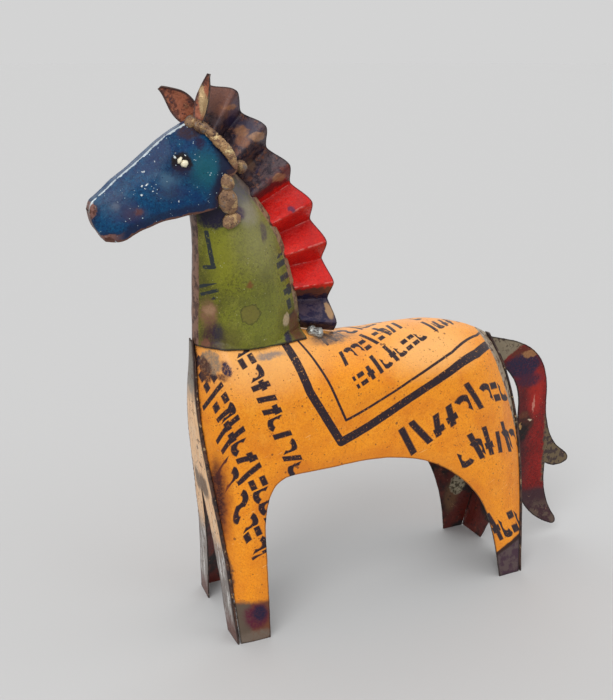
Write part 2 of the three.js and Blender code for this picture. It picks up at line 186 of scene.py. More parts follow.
class Sheet:
    """The middle of a bent piece of tin. Each row of data is a point, the direction outwards,
    its place on the flat piece and two more values that its finish can use."""

    def __init__(self, surface, rows, columns, loop=False, row_shares=None):
        u = np.linspace(0, 1, rows + 1) if row_shares is None else row_shares
        v = np.linspace(0, 1, columns + 1)[:columns if loop else None]
        u, v = np.meshgrid(u, v, indexing="ij")
        step = 1e-3
        points = surface(u, v)
        du = surface(np.minimum(u + step, 1), v) - surface(np.maximum(u - step, 0), v)
        if loop:
            dv = surface(u, (v + step) % 1) - surface(u, (v - step) % 1)
        else:
            dv = surface(u, np.minimum(v + step, 1)) - surface(u, np.maximum(v - step, 0))
        normals = np.cross(du, dv)
        normals /= np.maximum(np.linalg.norm(normals, axis=-1, keepdims=True), 1e-12)
        self.grid = points
        wide = points.shape[1]
        self.data = np.concatenate([
            points.reshape(-1, 3), normals.reshape(-1, 3), np.zeros((points[..., 0].size, 4))], 1)
        self.faces = []
        for i in range(rows):
            for j in range(columns):
                k = (j + 1) % wide
                self.faces.append((i * wide + j, (i + 1) * wide + j, (i + 1) * wide + k, i * wide + k))

    @property
    def points(self):
        return self.data[:, 0:3]

    @property
    def side_view(self):
        return self.data[:, [0, 2]]

    def set_flat(self, across, along):
        self.data[:, 6] = np.ravel(across)
        self.data[:, 7] = np.ravel(along)

    def set_extra(self, first, second):
        self.data[:, 8] = np.ravel(first)
        self.data[:, 9] = np.ravel(second)

    def dent(self, depth, wavelength, seed, hold=None):
        """Moves the sheet in and out in soft waves, as hand work leaves it."""
        push = soft_noise(self.points, wavelength, seed) * depth
        if hold is not None:
            push = push * hold
        self.data[:, 0:3] += self.data[:, 3:6] * push[:, None]

    def renew_normals(self):
        """Works the outward directions out again after points were moved one way."""
        corners = np.array(self.faces)
        a, b, c, d = (self.points[corners[:, k]] for k in range(4))
        flat = np.cross(c - a, d - b)
        total = np.zeros_like(self.points)
        for k in range(4):
            np.add.at(total, corners[:, k], flat)
        size = np.linalg.norm(total, axis=1, keepdims=True)
        self.data[:, 3:6] = total / np.maximum(size, 1e-12)

    def trim(self, keep):
        """Cuts the sheet along keep = 0 and drops the part where keep is negative."""
        keep = np.where(np.abs(keep) < SNIP_SNAP, 0, keep).tolist()
        rows = self.data.tolist()
        cuts = {}
        kept = []
        for face in self.faces:
            levels = [keep[k] for k in face]
            if max(levels) <= 0:
                continue
            if min(levels) >= 0:
                kept.append(face)
                continue
            ring = []
            for a, b in zip(face, face[1:] + face[:1]):
                if keep[a] >= 0:
                    ring.append(a)
                if keep[a] * keep[b] < 0:
                    key = (min(a, b), max(a, b))
                    if key not in cuts:
                        share = keep[a] / (keep[a] - keep[b])
                        cuts[key] = len(rows)
                        rows.append([p + (q - p) * share for p, q in zip(rows[a], rows[b])])
                    ring.append(cuts[key])
            if len(ring) > 2:
                kept.append(tuple(ring))
        used = sorted({k for face in kept for k in face})
        renumber = {old: new for new, old in enumerate(used)}
        self.data = np.array(rows)[used]
        self.faces = [tuple(renumber[k] for k in face) for face in kept]

    def border(self):
        """The directed edges that only one face has."""
        edges = {(a, b) for face in self.faces for a, b in zip(face, face[1:] + face[:1])}
        return [edge for edge in edges if (edge[1], edge[0]) not in edges]


def build_mesh(name, points, faces, materials, material_of, flat, values):
    """A mesh object from points in mm, smooth but for sharp edges."""
    mesh = bpy.data.meshes.new(name)
    place = (np.asarray(points) + np.array([CENTRE_SHIFT, 0, 0])) * MM
    mesh.from_pydata([tuple(p) for p in place], [], faces)
    for material in materials:
        mesh.materials.append(material)
    mesh.polygons.foreach_set("material_index", material_of)
    corner = np.zeros(len(mesh.loops), int)
    mesh.loops.foreach_get("vertex_index", corner)
    layer = mesh.uv_layers.new(name="flat")
    layer.data.foreach_set("uv", flat[corner].ravel())
    for key, column in values.items():
        attribute = mesh.attributes.new(key, "FLOAT", "POINT")
        attribute.data.foreach_set("value", np.asarray(column, np.float32))
    mesh.validate()
    mesh.shade_smooth()
    mesh.set_sharp_from_angle(angle=math.radians(SHARP_ANGLE))
    mesh.update()
    made = bpy.data.objects.new(name, mesh)
    bpy.context.scene.collection.objects.link(made)
    return made


def make_tin(name, sheet, materials, thickness=TIN):
    """Gives a sheet its thickness. The materials are for the outside, the inside and the cut edge."""
    count = len(sheet.data)
    border = sheet.border()
    lift = sheet.data[:, 3:6] * thickness / 2
    points = np.concatenate([sheet.points + lift, sheet.points - lift])
    faces = list(sheet.faces)
    faces += [tuple(k + count for k in reversed(face)) for face in sheet.faces]
    faces += [(b, a, a + count, b + count) for a, b in border]
    material_of = [0] * len(sheet.faces) + [1] * len(sheet.faces) + [2] * len(border)
    tree = KDTree(2 * len(border))
    for index, (a, b) in enumerate(border):
        tree.insert(sheet.points[a], 2 * index)
        tree.insert((sheet.points[a] + sheet.points[b]) / 2, 2 * index + 1)
    tree.balance()
    rim = [tree.find(point)[2] for point in sheet.points]
    values = {
        "rim": rim + rim,
        "first": np.tile(sheet.data[:, 8], 2),
        "second": np.tile(sheet.data[:, 9], 2),
    }
    flat = np.tile(sheet.data[:, 6:8], (2, 1))
    return build_mesh(name, points, faces, materials, material_of, flat, values)


def add_piece(made, slot, *nodes):
    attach(made, "root")
    if nodes:
        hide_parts(*nodes)
    return made


# ---------------------------------------------------------------- nodes and finishes
def colour(red, green, blue):
    """A colour picked as it looks on a screen, 0 to 255."""
    parts = [part / 255 for part in (red, green, blue)]
    return tuple(p / 12.92 if p <= 0.04045 else ((p + 0.055) / 1.055) ** 2.4 for p in parts) + (1.0,)


class Nodes:
    """Adds nodes to a tree and joins them up."""

    def __init__(self, tree):
        self.tree = tree

    def put(self, socket, value):
        if isinstance(value, bpy.types.NodeSocket):
            self.tree.links.new(value, socket)
        else:
            socket.default_value = value

    def node(self, kind, inputs=None, output=0, **settings):
        made = self.tree.nodes.new(kind)
        for key, value in settings.items():
            setattr(made, key, value)
        for key, value in (inputs or {}).items():
            self.put(made.inputs[key], value)
        return made.outputs[output] if made.outputs else made

    def math(self, operation, first, second=0.0, third=0.0):
        return self.node("ShaderNodeMath", {0: first, 1: second, 2: third}, operation=operation)

    def add(self, first, second):
        return self.math("ADD", first, second)

    def less(self, first, second):
        return self.math("SUBTRACT", first, second)

    def both(self, first, second):
        return self.math("MULTIPLY", first, second)

    def either(self, first, second):
        return second if first is None else self.math("MAXIMUM", first, second)

    def without(self, first, second):
        return self.both(first, self.less(1.0, second))

    def vector(self, operation, first, second=(0, 0, 0), output=0):
        return self.node("ShaderNodeVectorMath", {0: first, 1: second}, output, operation=operation)

    def scaled(self, vector, scale):
        return self.node("ShaderNodeVectorMath", {0: vector, "Scale": scale}, operation="SCALE")

    def length(self, vector):
        return self.vector("LENGTH", vector, output="Value")

    def parts(self, vector):
        split = self.tree.nodes.new("ShaderNodeSeparateXYZ")
        self.put(split.inputs[0], vector)
        return tuple(split.outputs)

    def joined(self, x, y, z=0.0):
        return self.node("ShaderNodeCombineXYZ", {0: x, 1: y, 2: z})


# How a noise is made: how many finer layers it has and how strong they are.
PLAIN = (1, 0.55)
SMOOTH = (3, 0.55)
CLOUDY = (5, 0.55)
BROKEN = (6, 0.7)
SHAKY = (6, 0.72)
GRAINY = (6, 0.75)
GRITTY = (6, 0.8)


class Finish(Nodes):
    """A paint or metal finish made of nodes. Places are in the maker's millimetres."""

    def __init__(self, name, base, rough, metal=0.0):
        self.material = bpy.data.materials.new(name)
        self.material.use_nodes = True
        super().__init__(self.material.node_tree)
        self.tree.nodes.clear()
        self.base = colour(*base)
        self.rough = rough
        self.metal = metal
        self.relief = None
        bare = self.node("ShaderNodeTexCoord", output="Object")
        self.place = self.vector("SUBTRACT", self.scaled(bare, 1 / MM), (CENTRE_SHIFT, 0, 0))
        self.x, self.y, self.z = self.parts(self.place)
        self.ragged = self.place

    def ramp(self, value, low, high, to_low=0.0, to_high=1.0):
        """Goes smoothly from to_low at low to to_high at high."""
        return self.node(
            "ShaderNodeMapRange", {0: value, 1: low, 2: high, 3: to_low, 4: to_high},
            interpolation_type="SMOOTHSTEP", clamp=False)

    def noise(self, scale, kind=SMOOTH, seed=0.0, where=None):
        """Noise from 0 to 1; scale is in waves for each mm."""
        where = self.place if where is None else where
        if seed:
            where = self.vector("ADD", where, (seed * 13.7, seed * 7.3, seed * 3.1))
        return self.node(
            "ShaderNodeTexNoise", {"Vector": where, "Scale": scale, "Detail": kind[0], "Roughness": kind[1]})

    def cloud(self, scale, low, high, seed=0.0, kind=CLOUDY):
        """Patches of noise, 0 where it is below low and 1 above high."""
        return self.ramp(self.noise(scale, kind, seed), low, high)

    def wobble(self, scale, reach):
        """Noise that swings about 0 by up to reach."""
        return self.math("MULTIPLY_ADD", self.noise(scale, BROKEN), reach * 2, -reach)

    def shaken(self, where, scale, reach):
        """The same places, moved about by noise."""
        pushes = []
        for axis in range(3):
            push = self.noise(scale, SHAKY, 31.7 * axis + 0.9, where)
            pushes.append(self.math("MULTIPLY_ADD", push, reach * 2, -reach))
        return self.vector("ADD", where, self.joined(*pushes))

    def fold_sides(self):
        """Reads places on the right side from the left, so that burns come in pairs."""
        folded = self.both(self.math("ABSOLUTE", self.y), -1.0)
        self.ragged = self.shaken(self.joined(self.x, folded, self.z), 0.32, 1.7)

    def value(self, name):
        return self.node("ShaderNodeAttribute", output="Fac", attribute_name=name)

    def flat(self):
        return self.node("ShaderNodeUVMap", uv_map="flat")

    def spot(self, centre, size, soft, where=None):
        """1 inside an oval blot, 0 outside it."""
        away = self.vector("SUBTRACT", self.ragged if where is None else where, centre)
        return self.ramp(self.length(self.vector("DIVIDE", away, size)), 1 + soft, 1 - soft)

    def line(self, where, start, end, width):
        """1 on a straight line drawn between two flat places."""
        soft = 0.12
        start = Vector((*start, 0))
        run = Vector((*end, 0)) - start
        away = self.vector("SUBTRACT", where, tuple(start))
        along = self.vector("DOT_PRODUCT", away, tuple(run), output="Value")
        share = self.math("MAXIMUM", self.math("DIVIDE", along, run.length_squared), 0.0)
        share = self.math("MINIMUM", share, 1.0)
        gap = self.length(self.vector("SUBTRACT", away, self.scaled(tuple(run), share)))
        return self.ramp(gap, width / 2 + soft, width / 2 - soft)

    def chance(self, value, seed):
        """A fixed random number from 0 to 1 for each whole value."""
        shifted = self.math("MULTIPLY_ADD", value, 7.31, seed * 19.19)
        return self.node("ShaderNodeTexWhiteNoise", {"W": shifted}, noise_dimensions="1D")

    def strokes(self, where, origin, degrees, length, rows, pitch, height, seed):
        """Rows of generic marks, as print looks from afar: hooks, dashes and bars. They spell nothing."""
        angle = math.radians(degrees)
        away = self.vector("SUBTRACT", where, (*origin, 0))
        ways = ((math.cos(angle), math.sin(angle), 0), (-math.sin(angle), math.cos(angle), 0))
        along, across = [self.vector("DOT_PRODUCT", away, way, output="Value") for way in ways]
        # Each row is cut into cells, and each cell draws which mark it holds.
        step = height * 0.5
        half = height * 0.11
        soft = height * 0.025
        row = self.math("FLOOR", self.math("DIVIDE", across, pitch))
        in_row = self.less(across, self.both(row, pitch))
        moved = self.math("MULTIPLY_ADD", self.chance(row, seed + 3), step * 9, along)
        cell = self.math("FLOOR", self.math("DIVIDE", moved, step))
        in_cell = self.less(moved, self.math("MULTIPLY_ADD", cell, step, step / 2))
        tag = self.math("MULTIPLY_ADD", row, 61.7, cell)
        pick = self.chance(tag, seed)
        other = self.chance(tag, seed + 1)
        low = self.less(in_row, height * 0.36)

        def bold(off):
            return self.ramp(self.math("ABSOLUTE", off), half + soft, half - soft)

        def within(value, start, end):
            picked = self.both(value, self.math("LESS_THAN", pick, end))
            return self.both(self.math("GREATER_THAN", pick, start), picked)

        # A hook: half a ring, open to one side or the other.
        ring = bold(self.less(self.length(self.joined(in_cell, low)), height * 0.265))
        lean = self.math("MULTIPLY_ADD", self.math("GREATER_THAN", other, 0.5), 2.0, -1.0)
        open_side = self.both(self.math("MULTIPLY_ADD", low, 0.9, in_cell), lean)
        hook = self.both(ring, self.ramp(open_side, -soft, soft))
        # A slanting bar.
        slant = self.math("MULTIPLY_ADD", low, self.math("MULTIPLY_ADD", other, 0.7, -0.35), in_cell)
        rise = self.math("GREATER_THAN", other, 0.45)
        tall = self.math("MULTIPLY_ADD", rise, height * 0.28, height * 0.36)
        ends = self.both(
            self.ramp(low, tall, self.less(tall, soft)), self.ramp(low, -height * 0.36, -height * 0.33))
        bar = self.both(bold(slant), ends)
        # A cross tick, and two dashes.
        narrow = self.ramp(self.math("ABSOLUTE", in_cell), step * 0.4, step * 0.36)
        tick_at = self.math("MULTIPLY_ADD", other, height * 0.4, -height * 0.2)
        tick = self.both(bold(self.less(low, tick_at)), narrow)
        pair = self.both(bold(self.less(self.math("ABSOLUTE", low), height * 0.2)), narrow)
        mark = None
        for shape, start, end in ((hook, 0.0, 0.5), (bar, 0.4, 0.86), (tick, 0.58, 0.68), (pair, 0.86, 0.97)):
            mark = self.either(mark, within(shape, start, end))
        # Only within the block.
        mark = self.both(mark, self.both(self.ramp(along, 0, soft), self.ramp(along, length + soft, length)))
        above = self.math("GREATER_THAN", across, 0)
        return self.both(mark, self.both(above, self.math("LESS_THAN", across, rows * pitch)))

    def mix(self, mask, first, second):
        kind = "RGBA" if isinstance(second, tuple) else "FLOAT"
        slots = (6, 7, 2) if kind == "RGBA" else (2, 3, 0)
        return self.node(
            "ShaderNodeMix", {0: mask, slots[0]: first, slots[1]: second}, slots[2], data_type=kind)

    def over(self, tint, mask, rough=None, metal=None, amount=1.0):
        """Lays a colour, and if given its gloss and metal, where the mask says."""
        if amount < 1:
            mask = self.both(mask, amount)
        self.base = self.mix(mask, self.base, colour(*tint))
        if rough is not None:
            self.rough = self.mix(mask, self.rough, rough)
        if metal is not None:
            self.metal = self.mix(mask, self.metal, metal)

    def blots(self, *rows):
        """Soft ovals: each is a tint, its middle, its size, how soft, how strong, and its roughness."""
        for tint, centre, size, soft, amount, *rough in rows:
            self.over(tint, self.spot(centre, size, soft), *rough, amount=amount)

    def burn(self, *rows):
        """Scorched blots: each is a tint, its middle, its size and how soft its edge is."""
        mottle = self.ramp(self.noise(1.1, GRITTY, 3.3), 0.42, 0.54, 0.66, 1.0)
        for tint, centre, size, soft in rows:
            self.over(tint, self.both(self.spot(centre, size, soft), mottle), 0.48, 0.15)

    def speckles(self, *rows):
        """Small scattered flecks: share is how much of the surface they take."""
        for tint, scale, share, seed, amount in rows:
            moved = self.vector("ADD", self.place, (seed * 9.1, seed * 4.7, seed * 2.3))
            cells = self.node("ShaderNodeTexVoronoi", {"Vector": moved, "Scale": scale}, "Distance")
            fleck = self.less(self.noise(scale * 0.35, PLAIN, where=moved), cells)
            self.over(tint, self.ramp(fleck, share, share + 0.04), amount=amount)

    def scratches(self, *rows):
        """Thin broken scratches that run roughly one way over the side."""
        for tint, degrees, seed, amount in rows:
            turn = self.node(
                "ShaderNodeVectorRotate", {"Vector": self.place, "Angle": math.radians(degrees)},
                rotation_type="Y_AXIS")
            stretched = self.vector("MULTIPLY", turn, (0.07, 0.6, 1.0))
            fine = self.ramp(self.noise(1.5, (3, 0.7), seed, stretched), 0.66, 0.7)
            self.over(tint, self.both(fine, self.cloud(0.09, 0.5, 0.62, seed + 1, SMOOTH)), amount=amount)

    def weather(self, deep, pale, seed, strength=1.0):
        """Uneven paint: broad clouds, fine mottling, pits and pale flecks."""
        for k, (tint, scale, low, high, kind, amount) in enumerate((
                (deep, 0.09, 0.44, 0.68, CLOUDY, 0.5), (pale, 0.14, 0.52, 0.74, CLOUDY, 0.4),
                (deep, 1.3, 0.47, 0.64, GRAINY, 0.55), (pale, 1.7, 0.56, 0.72, BROKEN, 0.4))):
            self.over(tint, self.cloud(scale, low, high, seed + k, kind), amount=amount * strength)
        self.speckles((deep, 1.7, 0.38, seed, 0.6))

    def grain(self, dark, light, seed, amount):
        """Fine pitting that darkens and lightens the paint."""
        self.over(dark, self.cloud(1.9, 0.51, 0.6, seed, GRITTY), amount=amount)
        self.over(light, self.cloud(1.5, 0.55, 0.64, seed + 1, GRITTY), amount=amount * 0.8)

    def lift(self, height):
        self.relief = height if self.relief is None else self.add(self.relief, height)

    def raise_by(self, scale, height=None, kind=SMOOTH):
        """Adds bumps of noise to the surface."""
        bumps = self.noise(scale, kind)
        self.lift(bumps if height is None else self.both(bumps, height))

    def done(self, gloss=0.0, gloss_rough=0.1, bump=0.3, shine=0.5):
        inputs = {
            "Base Color": self.base, "Roughness": self.rough, "Metallic": self.metal,
            "Specular IOR Level": shine, "Coat Weight": gloss, "Coat Roughness": gloss_rough}
        if self.relief is not None:
            inputs["Normal"] = self.node(
                "ShaderNodeBump", {"Strength": bump, "Distance": MM, "Height": self.relief})
        self.node("ShaderNodeOutputMaterial", {"Surface": self.node("ShaderNodeBsdfPrincipled", inputs)})
        return self.material


# ---------------------------------------------------------------- the shapes, as in the solids
chest_x = profile([[0, -56.4], [30, -58.2], [50, -60.4], [75, -62.9], [CHEST_TOP, -62.4]])
chest_half = profile([[0, 19.7], [25, 14.3], [45, 10.6], [60, 8.2], [80, 5], [CHEST_TOP, 1.4]])
rump_x = profile([[0, 55.3], [25, 57.4], [44, 57.5], [64, 55.3], [75, 52.6], [RUMP_TOP, 47.6]])
rump_half = profile([[0, 19.7], [25, 14.5], [44, 11.2], [64, 8], [80, 5], [RUMP_TOP, 1.4]])
shoulder_length = profile([[0, 6], [40, 16], [65, 18], [84, 12], [CHEST_TOP, 5]])


def body_surface(along, around):
    """along runs from chest to rump, around from the left foot over the back to the right foot."""
    side = np.where(around < 0.5, -1.0, 1.0)
    down = np.abs(around - 0.5) * 2
    arch = np.minimum(down / ARCH_PART, 1)
    below = np.maximum(down - ARCH_PART, 0) / (1 - ARCH_PART)
    angle = arch * math.pi / 2
    arch_foot = BACK_HEIGHT - ARCH_RADIUS
    front_z = lerp(lerp(CHEST_TOP, arch_foot, arch), -UNDER_FLOOR, below)
    rear_z = lerp(lerp(RUMP_TOP, arch_foot - 4, arch), -UNDER_FLOOR, below)
    close_up = np.minimum(arch * 4, 1)
    front_y = (chest_half(front_z) - 0.3) * close_up
    rear_y = (rump_half(rear_z) - 0.3) * close_up
    front_x = chest_x(front_z) + EDGE_SET_BACK
    rear_x = rump_x(rear_z) - EDGE_SET_BACK
    x = lerp(front_x, rear_x, along)
    rise = WITHERS_RISE * smoothstep(-x, 8, 48)
    mid_z = lerp(arch_foot + (ARCH_RADIUS + rise) * np.cos(angle), -UNDER_FLOOR, below)
    mid_y = ARCH_RADIUS * np.sin(angle) + FOOT_SPREAD * below
    to_chest = np.maximum(1 - (x - front_x) / shoulder_length(front_z), 0) ** CHEST_BEND
    to_rump = np.maximum(1 - (rear_x - x) / RUMP_LENGTH, 0) ** RUMP_BEND
    y = mid_y + (front_y - mid_y) * to_chest + (rear_y - mid_y) * to_rump
    z = mid_z + (front_z - mid_z) * to_chest + (rear_z - mid_z) * to_rump
    return np.stack([x, side * y, z], -1)


BELLY = outline(
    (-45.2, -5), (-45.8, 38), (-45.6, 50, -43.5, 56, -36, 56.5), (-12, 56.9),
    (12, 56.5, 24, 48, 34, 36), (40, 28, 44.5, 14, 46.4, -5))


def end_plate_surface(edge_x, half, top, bulge):
    def surface(up, across):
        z = lerp(-UNDER_FLOOR, top, up)
        side = across * 2 - 1
        return np.stack([edge_x(z) + bulge * (1 - side * side), side * half(z), z], -1)

    return surface


NOSE = -91.3
HEAD_REAR = -46
head_top = profile([
    [NOSE, 142.6], [-90.8, 144.2], [-89, 146], [-78, 154.6], [-66.7, 163], [-60.6, 166],
    [-56.5, 166.4], [HEAD_REAR, 166.4]])
head_low = profile([
    [NOSE, 142.3], [-90.8, 139.6], [-88.9, 136], [-86, 132.2], [-80, 131.5], [HEAD_REAR, 134]])
head_half = profile([
    [NOSE, 2.1], [-90.8, 2.6], [-89, 4], [-85, 5.6], [-70, 8.2], [-58, 9.4], [HEAD_REAR, 9.4]])
BAND_SHARE = 0.1
SIDE_SHARE = 0.9


def head_surface(along, around):
    """along runs from the nose back, around from under the left jaw over the nose to the right."""
    x = lerp(NOSE, HEAD_REAR, along)
    top = head_top(x)
    low = head_low(x)
    half = head_half(x)
    band = np.minimum(HEAD_BAND_HALF, half * 0.95)
    side = np.where(around < 0.5, -1.0, 1.0)
    turn = np.abs(around - 0.5) * 2
    drop = np.clip((turn - BAND_SHARE) / (SIDE_SHARE - BAND_SHARE), 0, 1) ** 1.3
    dome = np.where(drop < 0.62, 1 - (1 - drop / 0.62) ** 2, 1 - 0.35 * ((drop - 0.62) / 0.38) ** 2)
    y = lerp(band, half, dome)
    y = np.where(turn < BAND_SHARE, band * turn / BAND_SHARE, y)
    y = y * np.clip((1 - turn) / (1 - SIDE_SHARE), 0, 1)
    return np.stack([x, side * y, lerp(top, low, drop)], -1)


HEAD_PATTERN = outline(
    (-100, 133.6), (-85.5, 133.6), (-80, 133.6, -78, 138.6, -68, 139.6), (-55.2, 141.8), (-56, 145.4),
    (-49.3, 152.6), (-49.4, 158, -54.5, 165, -60.2, 166.2), (-64, 180), (-100, 180))

neck_front_x = profile([[0, -62.6], [0.25, -61.9], [0.6, -60.9], [1, -60.9]])
neck_front_z = profile([[0, 88], [0.5, 119], [1, 145.5]])
neck_rear_x = profile([[0, -25.6], [0.3, -27.2], [0.6, -31.8], [0.8, -38.5], [1, -52]])
neck_rear_z = profile([[0, 88], [0.3, 108], [0.6, 127], [0.8, 140], [1, 155.5]])
neck_half = profile([[0, 10.4], [0.4, 11.6], [0.75, 9.6], [1, 7]])
NECK_FACE_SHARE = 0.06
NECK_SEAM_SHARE = 0.03


def neck_surface(up, around):
    """up runs from the hem to the poll, around once round from the middle of the front strip."""
    side = np.where(around < 0.5, -1.0, 1.0)
    away = 1 - np.abs(around - 0.5) * 2
    back = np.clip((away - NECK_FACE_SHARE) / (1 - NECK_FACE_SHARE - NECK_SEAM_SHARE), 0, 1)
    half = lerp(NECK_FACE_HALF, NECK_SEAM_HALF, back)
    half = half + (neck_half(up) - 2) * np.sin(math.pi * back ** 0.92)
    half = np.where(away < NECK_FACE_SHARE, half * away / NECK_FACE_SHARE, half)
    half = np.where(away > 1 - NECK_SEAM_SHARE, half * (1 - away) / NECK_SEAM_SHARE, half)
    back = back * 0.98 + 0.02 * np.clip(away / NECK_FACE_SHARE, 0, 1)
    return np.stack([
        lerp(neck_front_x(up), neck_rear_x(up), back), side * half,
        lerp(neck_front_z(up), neck_rear_z(up), back)], -1)


NECK_HEM = outline((-80, 98.6), (-57, 98.6), (-48, 98), (0, 97.6), (0, 200), (-80, 200))

mane_outer = catmull_rom([
    (-52.6, 0, 178.6), (-43.6, 0, 171.4), (-31, 0, 153.5), (-20.6, 0, 136), (-15.4, 0, 116),
    (-13.6, 0, 93.5)])
mane_inner = catmull_rom([
    (-56.4, 0, 167.6), (-53.2, 0, 158.4), (-44.8, 0, 146), (-35.6, 0, 132.8), (-29.2, 0, 113.8),
    (-26, 0, 97.5)])


def mane_surface(along, across):
    """along runs from the poll to the withers, across from the neck outwards."""
    swing = np.cos(along * MANE_PLEATS * 2 * math.pi)
    inner = mane_inner(along)
    outer = mane_outer(along)
    width = np.linalg.norm(outer - inner, axis=-1)
    scallop = MANE_SCALLOP * np.maximum(1 - 1.1 * along, 0)
    reach = across * (1 - scallop * (1 + swing) / 2 / width)
    points = inner + (outer - inner) * reach[..., None]
    points[..., 1] = MANE_WAVE * np.arcsin(0.97 * swing) / math.asin(0.97)
    return points


def ear_surface(root, tip, facing, width, cup, curl, hook):
    root = np.array(root, float)
    axis = np.array(tip, float) - root
    length = np.linalg.norm(axis)
    axis /= length
    across = np.cross(axis, facing)
    across /= np.linalg.norm(across)
    out = np.cross(across, axis)

    def surface(up, side):
        span = side * 2 - 1
        half = width / 2 * (0.12 + 0.88 * np.sin(math.pi * (0.18 + 0.8 * up) ** 0.9))
        lift = cup * np.abs(span) ** 1.3 * (1 - 0.5 * up) + curl * up ** 3
        aside = span * half + hook * up ** 4
        return (root + axis * (up * length)[..., None] + across * aside[..., None]
                + out * lift[..., None])

    return surface


TAIL = outline(
    (44, 88.4), (58, 84.4), (70, 81.5, 75.5, 73, 76.4, 62), (77, 50, 79, 41, 86, 36),
    (89, 34, 90.6, 31.5, 88.6, 30.4), (85.5, 29, 81.5, 29.4, 78.5, 31.3), (77.6, 22, 79.4, 14.5, 84.6, 7.4),
    (86, 4.8, 85, 3.6, 82.6, 4.6), (76, 7.6, 71, 12, 67.6, 18.6), (64.6, 28, 64, 42, 63.9, 58),
    (63, 66.5, 59, 73.8, 51, 76.6), (44, 78.6))
TAIL_LEFT = 43
TAIL_RIGHT = 92
TAIL_TOP = 90


def tail_surface(along, up):
    x = lerp(TAIL_LEFT, TAIL_RIGHT, along)
    z = lerp(2, TAIL_TOP, up)
    y = 0.7 * np.sin((z - 20) / 15) * smoothstep(x, 58, 72)
    return np.stack([x, y, z], -1)


# ---------------------------------------------------------------- sheets of tin
def make_body(materials):
    rows = 118
    columns = 230
    middle = columns // 2
    sheet = Sheet(body_surface, rows, columns)
    steps = np.linalg.norm(np.diff(sheet.grid, axis=1), axis=-1)
    arc = np.concatenate([np.zeros((rows + 1, 1)), np.cumsum(steps, axis=1)], 1)
    arc -= arc[:, middle:middle + 1]
    x = sheet.grid[..., 0]
    z = sheet.grid[..., 2]
    strides = np.linalg.norm(np.diff(sheet.grid, axis=0), axis=-1)
    length = np.concatenate([np.zeros((1, columns + 1)), np.cumsum(strides, axis=0)], 0)
    length += x[rows // 2] - length[rows // 2]
    sheet.set_flat(length, arc)
    sheet.set_extra(x - chest_x(z), rump_x(z) - x)
    edge_hold = smoothstep(np.minimum(sheet.data[:, 8], sheet.data[:, 9]), 0, 6)
    sheet.dent(0.45, 24, 1, edge_hold)
    sheet.dent(0.16, 7, 2, edge_hold)
    sheet.trim(sheet.points[:, 2])
    snips = soft_noise(sheet.points, 3.5, 3) * 0.12
    sheet.trim(distance_outside(BELLY, sheet.side_view) + snips)
    return make_tin("body_sheet", sheet, materials), sheet


def make_end_plate(name, surface, fork_half, fork_height, flip, materials):
    rows = 130
    columns = 34
    turned = (lambda u, v: surface(u, 1 - v)) if flip else surface
    sheet = Sheet(turned, rows, columns)
    points = sheet.points
    half = np.abs(points[:, 1]).reshape(rows + 1, columns + 1).max(1)
    half = np.repeat(half, columns + 1)
    sheet.set_flat(points[:, 1], points[:, 2])
    sheet.set_extra(half - np.abs(points[:, 1]), points[:, 2])
    sheet.dent(0.2, 9, 5)
    sheet.trim(sheet.points[:, 2])
    slope = math.hypot(1, fork_height / fork_half)
    gap = np.abs(sheet.points[:, 1]) * fork_height / fork_half + sheet.points[:, 2] - fork_height
    snips = soft_noise(sheet.points, 5, 6) * 0.25
    sheet.trim(gap / slope + snips)
    return make_tin(name, sheet, materials)


def make_head(materials):
    rows = 80
    columns = 84
    shares = np.linspace(0, 1, rows + 1) ** 1.5
    sheet = Sheet(head_surface, rows, columns, row_shares=shares)
    ahead = sheet.points[:, 0] < NOSE + 0.05
    sheet.data[ahead, 3:6] = (-1, 0, 0)
    x = sheet.points[:, 0]
    z = sheet.points[:, 2]
    ridge = head_top(x) - z
    half = np.abs(sheet.points[:, 1])
    sheet.set_flat(ridge, half)
    inside = -distance_outside(HEAD_PATTERN, sheet.side_view)
    from_rear = inside + 20 * smoothstep(HEAD_REAR - x, 7, 19)
    sheet.set_extra(0, from_rear)
    for depth, wavelength, seed in ((0.4, 9, 8), (0.14, 3.2, 9)):
        sheet.dent(depth, wavelength, seed, smoothstep(sheet.points[:, 0], NOSE, NOSE + 6))
    snips = soft_noise(sheet.points, 5, 10) * 0.3
    sheet.trim(-distance_outside(HEAD_PATTERN, sheet.side_view) + snips)
    return make_tin("head_shell", sheet, materials)


def make_neck(body_tree, materials):
    """The neck's sides lap over the back, so near the hem they are pushed out to lie on it."""
    sheet = Sheet(lambda up, around: neck_surface(up, 1 - around), 84, 150, loop=True)
    steps = np.linalg.norm(np.diff(sheet.grid, axis=1, append=sheet.grid[:, :1]), axis=-1)
    girth = np.concatenate([np.zeros((len(steps), 1)), np.cumsum(steps, axis=1)], 1)
    from_front = np.minimum(girth[:, :-1], girth[:, -1:] - girth[:, :-1])
    from_seam = girth[:, -1:] / 2 - from_front
    sheet.set_extra(from_front, from_seam)
    sheet.dent(0.35, 12, 12)
    sheet.dent(0.12, 4, 13)
    on_side = (sheet.data[:, 8] > NECK_FACE_HALF) & (sheet.data[:, 9] > NECK_SEAM_HALF * 0.9)
    half = half_body(body_tree, sheet.points)
    y = sheet.data[:, 1].copy()
    clear = half + LAP_CLEARANCE * ARCH_RADIUS / np.maximum(half, 3.5)
    lapped = np.sign(y) * np.maximum(np.abs(y), clear)
    sheet.data[:, 1] = np.where(on_side & (half > 0), lapped, y)
    sheet.renew_normals()
    over = height_over(body_tree, sheet.points) + soft_noise(sheet.points, 4, 15) * 0.15
    keep = np.where(on_side, 1.0, over)
    hem = -distance_outside(NECK_HEM, sheet.side_view) + soft_noise(sheet.points, 4, 14) * 0.15
    sheet.trim(np.minimum(keep, hem))
    return make_tin("neck_sheet", sheet, materials)


